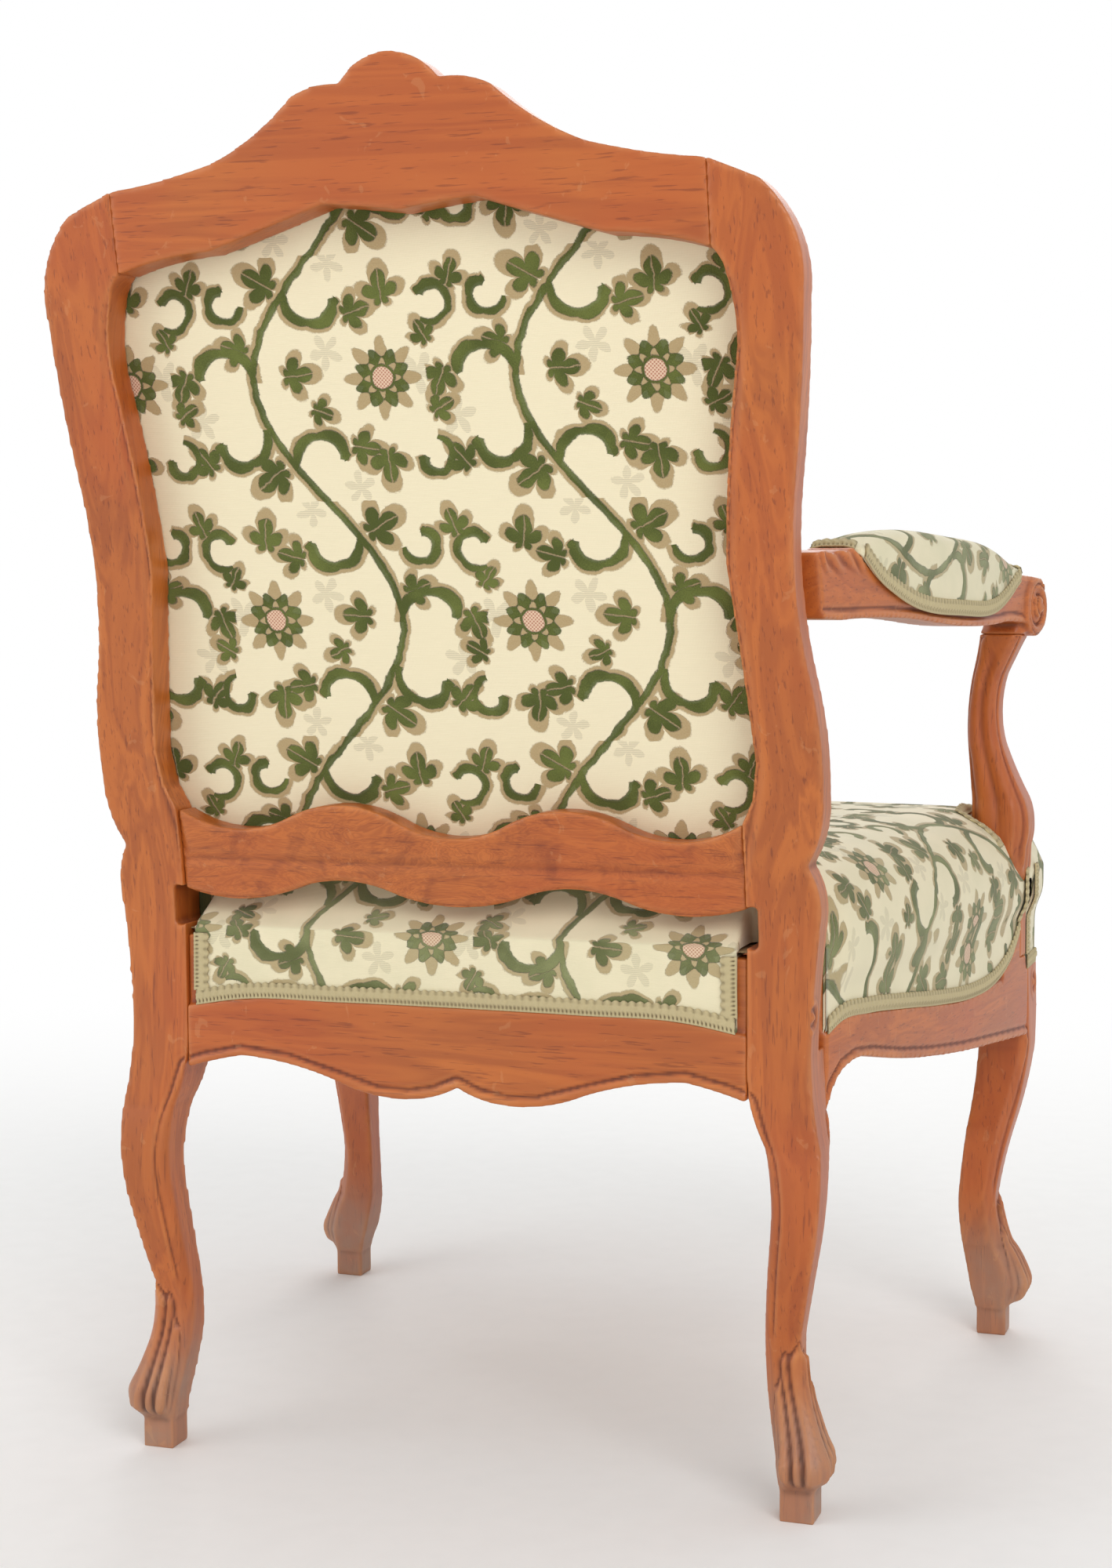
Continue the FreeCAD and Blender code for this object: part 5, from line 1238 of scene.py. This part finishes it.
# An arm pad: depth, height of its crown and of its lower edge, in millimetres
PAD_ROWS = [(-46, 678.4, 676.4), (-58, 684.0, 667), (-74, 687.5, 656), (-105, 690.5, 643),
            (-229, 688, 627), (-330, 680, 631), (-372, 670, 645), (-398, 662, 658)]
PAD_CROWN = [(y, crown) for y, crown, low in PAD_ROWS]
PAD_LOW = [(y, low) for y, crown, low in PAD_ROWS]
PAD_HALF = 18.4          # half width of a pad, mm
PAD_ENDS = (-392, -52)   # its front and rear ends, mm
PAD_SEAT = [(-44, 676.2), (-66, 664.3), (-97, 657.3), (-187, 654.3), (-298, 654.8), (-378, 657.3),
            (-400, 656)]    # the wood under an arm pad: depth and height


def arm_middle(y):
    """The arm's centre line, from the centre of the chair."""
    s = (14 - y) / 446.0
    return 246 + 82 * s + 11 * np.sin(math.pi * np.minimum(1.15 * s, 1))


def pad(side, hand, cushions):
    """One padded arm: crowned top, sides drawn down over the arm's wood."""
    cells = 24
    front, rear = PAD_ENDS
    long = np.linspace(front, rear, cells + 1)
    ends = [(PAD_HALF - 2 * PAD_HALF * i / cells, 3.0 * math.sin(math.pi * i / cells))
            for i in range(cells)]
    edge = [(PAD_HALF, y) for y in long[:-1]]
    edge += [(across, rear + round_off) for across, round_off in ends]
    edge += [(-PAD_HALF, y) for y in long[::-1][:-1]]
    edge += [(-across, front - round_off) for across, round_off in ends]
    outline = np.array(edge)

    def world(offset, y, z):
        return metres(np.column_stack([hand * (arm_middle(y) + offset), y, z]))

    def top(flat):
        offset, y = flat.T
        crown = line_at(PAD_CROWN, y) - 2.0
        full = np.maximum(crown - line_at(PAD_LOW, y), 1.5)
        across = np.clip(1 - (np.abs(offset) / PAD_HALF) ** 2, 0, 1) ** 0.5
        drop = np.minimum(full * 0.5, 11.0)
        return world(offset, y, crown - drop * (1 - across))

    crown = line_at(PAD_CROWN, outline[:, 1]) - 2.0
    low = line_at(PAD_LOW, outline[:, 1])
    start = crown - np.minimum((crown - low) * 0.5, 11.0)
    walls = [world(outline[:, 0], outline[:, 1], start + (low - start) * s)
             for s in (0.2, 0.4, 0.6, 0.8, 1.0)]
    inner = outline * (16.7 / PAD_HALF, 1.0)
    wood = np.maximum(line_at(PAD_SEAT, outline[:, 1]), low)
    walls += [world(inner[:, 0], outline[:, 1], low),
              world(inner[:, 0], outline[:, 1], (low + wood) / 2 + 0.3)]

    def floor(flat):
        y = flat[:, 1]
        wood = line_at(PAD_SEAT, y)
        return world(flat[:, 0] * 0.9, y, np.maximum(wood + 0.4, line_at(PAD_LOW, y) + 0.2))

    points, faces = cushion(outline, np.array([0.0, sum(PAD_ENDS) / 2]), top, walls, floor)
    if hand < 0:
        faces = faces[:, ::-1]
    flat = mm(points)
    middle = hand * arm_middle(flat[:, 1])
    lowered = line_at(PAD_CROWN, flat[:, 1]) - flat[:, 2]
    sheet = np.column_stack([flat[:, 0] + np.sign(flat[:, 0] - middle) * lowered,
                             flat[:, 1] + 90.0]) * MM
    piece = new_piece("arm_pad_" + side, points, faces, sheet)
    grid = (cells + 1) ** 2
    held = np.ones(len(points), bool)
    held[:grid + 2 * len(outline)] = False
    held[:grid][flat[:grid, 1] < -380] = True
    held[:grid][flat[:grid, 1] > -62] = True
    fill(piece, held, cushions.swell * 0.6)
    return divided(piece)


# Braid

# Places of the braid's ridges and grooves, from its ladder edge to its loops, mm
BRAID_ROWS = np.array([0.0, 0.9, 1.9, 2.9, 3.8, 4.9, 6.0, 7.1, 8.2, 9.2, 10.2, 11.2, 12.0])
BRAID_LOOP = 6.0    # length of one loop, mm
BRAID_SUNK = 0.7    # how far a seat braid's underside lies inside the rails' faces, mm


def braid(name, path, outward, across):
    """A looped braid along path, in millimetres. outward points away from what it lies on and
    across from its ladder edge to its looped edge; both are one vector or one per point."""
    path = np.asarray(path, float)
    run = np.concatenate([[0], np.cumsum(np.linalg.norm(np.diff(path, axis=0), axis=1))])
    count = max(int(run[-1] / 1.0), 4)
    at = np.linspace(0, run[-1], count + 1)

    def along(values):
        values = np.broadcast_to(np.asarray(values, float), path.shape)
        return np.column_stack([np.interp(at, run, column) for column in values.T])

    centre, outward, across = along(path), along(outward), along(across)
    outward /= np.linalg.norm(outward, axis=1)[:, None]
    across -= outward * (across * outward).sum(1)[:, None]
    across /= np.linalg.norm(across, axis=1)[:, None]
    loops = max(round(run[-1] / BRAID_LOOP), 1)
    phase = at / run[-1] * loops
    width = 10.4 + 1.6 * np.abs(np.sin(math.pi * phase))
    rows, gap_shade = [], []
    for place in BRAID_ROWS:
        reach = place / 12.0 * width if place > 8.2 else np.full(count + 1, place)
        bars = np.abs(np.sin(math.pi * phase * 2.0)) ** 2
        ladder = 0.5 + 1.0 * np.maximum(bars, mound(place, 0.6, 0.7))
        cords = 1.3 + 1.1 * np.abs(np.sin(math.pi * (phase + (place - 6) * 0.09)))
        rim = 1.0 + 1.0 * np.abs(np.sin(math.pi * phase)) * mound(place, 10.4, 1.4)
        share = rise(3.2, 4.4, place)
        outer = rise(8.6, 9.8, place)
        height = ladder * (1 - share) + (cords * (1 - outer) + rim * outer) * share
        rows.append((reach, height))
        # Painted shade for the braid's material: how dark each gap between ladder bars and loops
        # is.
        gap_shade.append((1 - share) * np.clip(1 - bars * 1.6, 0, 1) * rise(0.7, 1.6, place)
                    + outer * 0.5 * (1 - np.abs(np.sin(math.pi * phase))))
    rows = [(rows[0][0], np.zeros(count + 1))] + rows + [(rows[-1][0], np.zeros(count + 1))]
    gap_shade = [gap_shade[0]] + gap_shade + [gap_shade[-1]]
    points = np.stack([centre + across * reach[:, None] + outward * height[:, None]
                       for reach, height in rows], 1)
    ring = points.shape[1]
    index = np.arange(points.shape[0] * ring).reshape(-1, ring)
    nxt = np.roll(index, -1, axis=1)
    faces = np.stack([index[:-1], index[1:], nxt[1:], nxt[:-1]], -1).reshape(-1, 4)
    tangent = centre[1] - centre[0]
    if np.dot(np.cross(tangent, across[0]), outward[0]) > 0:
        faces = faces[:, ::-1]
    sheet = np.stack([np.stack([at, reach], -1) for reach, _ in rows], 1).reshape(-1, 2)
    ends = [index[0][::-1], index[-1]]
    piece = new_piece(name, metres(points.reshape(-1, 3)), list(faces) + ends, sheet * MM)
    paint(piece.data, "gap", np.stack(gap_shade, 1).ravel())
    return piece


def laid_on(piece, plan):
    """A line in plan dropped on a piece's surface, and the way that the surface faces there."""
    found = []
    for x, y in plan:
        over = Vector(metres((x, y, 600.0)))
        _, spot, facing, _ = piece.ray_cast(over, Vector((0, 0, -1)))
        found.append((*mm(spot), *facing))
    found = np.array(found)
    for _ in range(6):
        found[1:-1, 2:] = (found[:-2, 2:] + 2 * found[1:-1, 2:] + found[2:, 2:]) / 4
    return found[:, :3], found[:, 3:]


def seat_braids():
    """Braid along every edge of the seat's cover."""
    made = []
    cotton = braid_cotton()
    x = np.linspace(-206, 206, 60)
    level = line_at(REAR_LINE, np.abs(x)) - 0.5
    rear = braid("braid_rear", np.column_stack([x, np.full(60, -0.9), level]), (0, 1, 0),
                 (0, 0, 1))
    made.append(finished(rear, cotton, "braid", "seat_trim_rear"))
    for side, hand in SIDES:
        upright = braid("braid_rear_upright_" + side,
                        [(hand * 207.5, -0.8, 354), (hand * 207.0, -0.8, 397)], (0, 1, 0),
                        (-hand, 0, 0))
        made.append(finished(upright, cotton, "braid"))
        y = np.linspace(-43.4, -462, 70)
        level = line_at(SIDE_LINE, y) - 0.5
        path = np.column_stack([hand * (side_x(y) - BRAID_SUNK), y, level])
        lower = braid("braid_side_" + side, path, (hand, 0, 0), (0, 0, 1))
        made.append(finished(lower, cotton, "braid", "seat_trim_side_" + side))
        for name, y, start, way in (("rear", -463.6, 366, 1), ("front", -488.2, 334, -1)):
            z = np.linspace(start, 412, 24)
            out = side_x(np.array([y]))[0] - BRAID_SUNK + APRON_LAP * rise(364, 386, z)
            path = np.column_stack([hand * out, np.full(24, y), z])
            stop = braid("braid_stop_" + name + "_" + side, path, (hand, 0, 0), (0, way, 0))
            made.append(finished(stop, cotton, "braid"))
        collar = [(hand * 320, -424.4), (hand * 297, -424.4), (hand * 287.4, -434),
                  (hand * 287.4, -476), (hand * 297, -485.6), (hand * 320, -485.6)]
        collar = spaced(collar, 60)
        away = collar - (hand * 316, SUPPORT[1])
        path, facing = laid_on(bpy.data.objects["seat_cushion"], collar)
        ring = braid("braid_collar_" + side, path, facing,
                     np.column_stack([away, np.zeros(61)]))
        made.append(finished(ring, cotton, "braid"))
    x = np.linspace(-HALF_FRONT, HALF_FRONT, 90)[1:-1]
    arc = [(-HALF_FRONT, -489.0), (-HALF_FRONT, -536.0)]
    arc += list(zip(x, -560 + 19 * (np.abs(x) / HALF_FRONT) ** 2))
    arc += [(HALF_FRONT, -536.0), (HALF_FRONT, -489.0)]
    arc = spaced(arc, 160)
    tangent = np.gradient(arc, axis=0)
    out = np.column_stack([tangent[:, 1], -tangent[:, 0]])
    out /= np.linalg.norm(out, axis=1)[:, None]
    path = np.column_stack([arc - out * BRAID_SUNK, np.full(161, FRONT_LOW - 0.5)])
    front = braid("braid_front", path, np.column_stack([out, np.zeros(161)]), (0, 0, 1))
    made.append(finished(front, cotton, "braid", "seat_trim_front"))
    return made


def back_braid():
    """Braid round the inside back, over the cover's tacked edge."""
    outline, _ = opening_edge(300, 22.0)
    outline = np.roll(outline, -260, axis=0)
    depth = np.full(len(outline), 42.2)
    path = mm(on_back(outline[:, 0], outline[:, 1], depth))
    above = path[:, 2] > 504
    first = np.flatnonzero(above & ~np.roll(above, 1))[0]
    outline, path = (np.roll(line, -first, axis=0)[:above.sum()] for line in (outline, path))
    inner = opening_edge(300, 10.0)[0]
    inner = np.roll(np.roll(inner, -260, axis=0), -first, axis=0)[:len(outline)]
    depth = depth[:len(outline)]
    ahead = mm(on_back(outline[:, 0], outline[:, 1], depth + 1)) - path
    inward = mm(on_back(inner[:, 0], inner[:, 1], depth)) - path
    piece = braid("braid_inside_back", path, ahead, inward)
    return finished(piece, braid_cotton(), "braid", "inside_back_trim")


def pad_braid(side, hand):
    """Braid round the lower edge of an arm pad."""
    y = np.linspace(-54.5, -385, 90)
    low = line_at(PAD_LOW, y)
    strips = []
    for name, way in (("outer", 1), ("inner", -1)):
        path = np.column_stack([hand * (arm_middle(y) + way * 18.6), y, low - 0.6])
        slope = np.clip(np.gradient(low, y), -0.3, 0.3)
        up = np.column_stack([np.zeros(90), -slope, np.ones(90)])
        strips.append(braid("braid_pad_" + name + "_" + side, path, (hand * way, 0, 0), up))
    finished(strips[0], braid_cotton(), "braid", "arm_pad_trim_" + side)
    finished(strips[1], braid_cotton(), "braid")
    for name, y, level, way in (("rear", -46.5, 676.9, -1), ("front", -399.5, 658.8, 1)):
        middle = arm_middle(np.array([y]))[0]
        path = [(hand * (middle - 15.5), y, level - 1.6), (hand * (middle - 8), y, level),
                (hand * (middle + 8), y, level), (hand * (middle + 15.5), y, level - 1.6)]
        end = braid("braid_pad_" + name + "_" + side, path, (0, -way * 0.45, 1),
                    (0, way, 0.45))
        strips.append(finished(end, braid_cotton(), "braid"))
    return strips


# Stage

def studio_floor():
    """A pale floor that keeps the chair's shadow and fades to white behind it."""
    bpy.ops.mesh.primitive_plane_add(size=24, location=(0, 0, 0))
    floor = bpy.context.object
    floor.name = "studio_floor"
    f = Finish("studio_floor", Roughness=0.9)
    grain = f.noise(f.place(), 40.0, 4.0)
    shade = f.mix(grain, linear(246, 246, 245), linear(251, 251, 250))
    f.feed(f.surface.inputs["Base Color"], shade)
    far = f.smooth(f.node("VectorMath", {"operation": "LENGTH"}, {0: f.place()}, 1), 0.75, 2.1)
    seen = far * f.node("LightPath", {}, {}, 0)
    glow = f.node("Emission", {}, {"Color": (1, 1, 1), "Strength": 1.0})
    shown = f.node("MixShader", {}, {0: seen, 1: Value(f, f.surface.outputs[0]), 2: glow})
    f.feed(f.tree.nodes["Material Output"].inputs[0], shown)
    floor.data.materials.append(f.material)


def studio_world():
    """Soft light from all round, seen as plain white."""
    world = bpy.data.worlds.new("studio")
    bpy.context.scene.world = world
    world.use_nodes = True
    nodes, links = world.node_tree.nodes, world.node_tree.links
    nodes.clear()
    output = nodes.new("ShaderNodeOutputWorld")
    either = nodes.new("ShaderNodeMixShader")
    for slot, strength in ((1, 0.62), (2, 1.0)):
        background = nodes.new("ShaderNodeBackground")
        background.inputs["Color"].default_value = (1, 1, 1, 1)
        background.inputs["Strength"].default_value = strength
        links.new(background.outputs[0], either.inputs[slot])
    ray = nodes.new("ShaderNodeLightPath")
    seen = ray.outputs["Is Camera Ray"]
    for kind in ("Is Transmission Ray", "Is Glossy Ray"):
        greater = nodes.new("ShaderNodeMath")
        greater.operation = "MAXIMUM"
        links.new(seen, greater.inputs[0])
        links.new(ray.outputs[kind], greater.inputs[1])
        seen = greater.outputs[0]
    links.new(seen, either.inputs[0])
    links.new(either.outputs[0], output.inputs[0])


def studio_lamps():
    """Three large lamps: one behind the chair's right side, one behind its left, one in front."""
    lamps = (("key", (-2.3, 3.0, 2.6), 2.2, 62), ("fill", (2.6, 2.4, 1.6), 2.4, 26),
             ("front", (0.6, -3.2, 2.4), 2.4, 40))
    for name, place, size, power in lamps:
        lamp = bpy.data.lights.new(name, "AREA")
        lamp.size = size
        lamp.energy = power
        shone = bpy.data.objects.new(name, lamp)
        shone.location = place
        towards = Vector((0, 0, 0.5)) - Vector(place)
        shone.rotation_euler = towards.to_track_quat("-Z", "Y").to_euler()
        bpy.context.scene.collection.objects.link(shone)


def studio_camera():
    """The camera that sees the chair as the photograph does."""
    camera = bpy.data.cameras.new("camera")
    camera.sensor_fit = "VERTICAL"
    camera.sensor_height = 36.0
    camera.lens = 58.753
    camera.clip_start = 0.05
    view = bpy.data.objects.new("camera", camera)
    yaw, pitch, roll = 0.33415487, 0.0836994, -0.0054643
    view.location = (-0.6608109, 1.90923, 0.6625947)
    ahead = Vector((math.sin(yaw) * math.cos(pitch), -math.cos(yaw) * math.cos(pitch),
                    -math.sin(pitch)))
    turned = ahead.to_track_quat("-Z", "Y").to_matrix() @ Euler((0, 0, roll)).to_matrix()
    view.rotation_euler = turned.to_euler()
    bpy.context.scene.collection.objects.link(view)
    bpy.context.scene.camera = view
    bpy.context.scene.view_settings.view_transform = "Standard"


def stage():
    """Pale floor, white background, soft light and the photograph's camera."""
    studio_floor()
    studio_world()
    studio_lamps()
    studio_camera()


# Operators, panel and registration

class CHAIR_OT_stage(bpy.types.Operator):
    """Lays the floor, the light and the camera"""
    bl_idname = "chair.stage"
    bl_label = "Stage"

    def execute(self, context):
        stage()
        return {"FINISHED"}


class CHAIR_OT_frame(bpy.types.Operator):
    """Carves the walnut frame: posts, rails, legs, arms and crest"""
    bl_idname = "chair.frame"
    bl_label = "Carved frame"

    def execute(self, context):
        carve_frame()
        return {"FINISHED"}


class CHAIR_OT_inside(bpy.types.Operator):
    """Finishes what the upholstery hides: blocks, dowels, screws, webbing and sacking"""
    bl_idname = "chair.inside"
    bl_label = "Inner parts"

    def execute(self, context):
        webbing = woven("webbing", (196, 176, 132), (140, 116, 74), 0.0022)
        linen = woven("sacking", (188, 164, 122), (134, 108, 70), 0.0016)
        for name, node in NODES.items():
            if "block" in name or "dowel" in name:
                material = plain_wood()
            elif "screw" in name:
                material = brushed_steel()
            elif "webbing" in name:
                material = webbing
            elif "burlap" in name:
                material = linen
            else:
                continue
            node.data.materials.clear()
            node.data.materials.append(material)
        return {"FINISHED"}


class CHAIR_OT_seat(bpy.types.Operator):
    """Stuffs and covers the seat"""
    bl_idname = "chair.seat"
    bl_label = "Seat"

    def execute(self, context):
        piece = seat_cushion(context.scene.chair_cushion)
        finished(piece, figured_velvet("velvet_seat", 0.28), "figured_velvet", "seat_cover",
                 "seat_stuffing")
        return {"FINISHED"}


class CHAIR_OT_back(bpy.types.Operator):
    """Pads the inside back and stretches the outside back"""
    bl_idname = "chair.back"
    bl_label = "Back"

    def execute(self, context):
        piece = back_cushion(context.scene.chair_cushion)
        finished(piece, figured_velvet("velvet_back", 0.2), "figured_velvet",
                 "inside_back_cover", "back_stuffing")
        panel, size, area = back_panel()
        finished(panel, figured_velvet("velvet_outside", 0.0), "figured_velvet",
                 "outside_back_panel")
        return {"FINISHED"}


class CHAIR_OT_pads(bpy.types.Operator):
    """Pads both arms"""
    bl_idname = "chair.pads"
    bl_label = "Arm pads"

    def execute(self, context):
        for side, hand in SIDES:
            piece = pad(side, hand, context.scene.chair_cushion)
            finished(piece, figured_velvet("velvet_arm", 0.4), "plain_velvet",
                     "arm_pad_cover_" + side, "arm_pad_stuffing_" + side)
        return {"FINISHED"}


class CHAIR_OT_braid(bpy.types.Operator):
    """Lays braid along the edges of the covers"""
    bl_idname = "chair.braid"
    bl_label = "Braid"

    def execute(self, context):
        seat_braids()
        back_braid()
        for side, hand in SIDES:
            pad_braid(side, hand)
        return {"FINISHED"}


class CHAIR_PT_panel(bpy.types.Panel):
    """Lists the sizes, the colours and the steps that dress the armchair"""
    bl_idname = "CHAIR_PT_panel"
    bl_label = "Armchair"
    bl_space_type = "VIEW_3D"
    bl_region_type = "UI"
    bl_category = "Armchair"

    def draw(self, context):
        for group in (context.scene.chair_wood, context.scene.chair_cloth,
                      context.scene.chair_cushion):
            box = self.layout.box()
            for name in group.__annotations__:
                box.prop(group, name)
        for step in STEPS:
            self.layout.operator(step.bl_idname)


STEPS = (CHAIR_OT_stage, CHAIR_OT_inside, CHAIR_OT_frame, CHAIR_OT_seat, CHAIR_OT_back,
         CHAIR_OT_pads, CHAIR_OT_braid)
CLASSES = (WoodSettings, ClothSettings, CushionSettings, *STEPS, CHAIR_PT_panel)
GROUPS = (("chair_wood", WoodSettings), ("chair_cloth", ClothSettings),
          ("chair_cushion", CushionSettings))


def register():
    """Adds the settings, the steps and the panel."""
    for kind in CLASSES:
        bpy.utils.register_class(kind)
    for name, kind in GROUPS:
        setattr(bpy.types.Scene, name, PointerProperty(type=kind))


def unregister():
    """Takes away what register adds."""
    for name, kind in GROUPS:
        delattr(bpy.types.Scene, name)
    for kind in reversed(CLASSES):
        bpy.utils.unregister_class(kind)


def main():
    """Dresses the chair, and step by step."""
    register()
    bpy.ops.chair.stage()
    bpy.ops.chair.inside()
    bpy.ops.chair.frame()
    bpy.ops.chair.seat()
    bpy.ops.chair.back()
    bpy.ops.chair.pads()
    bpy.ops.chair.braid()


if __name__ == "__main__":
    main()
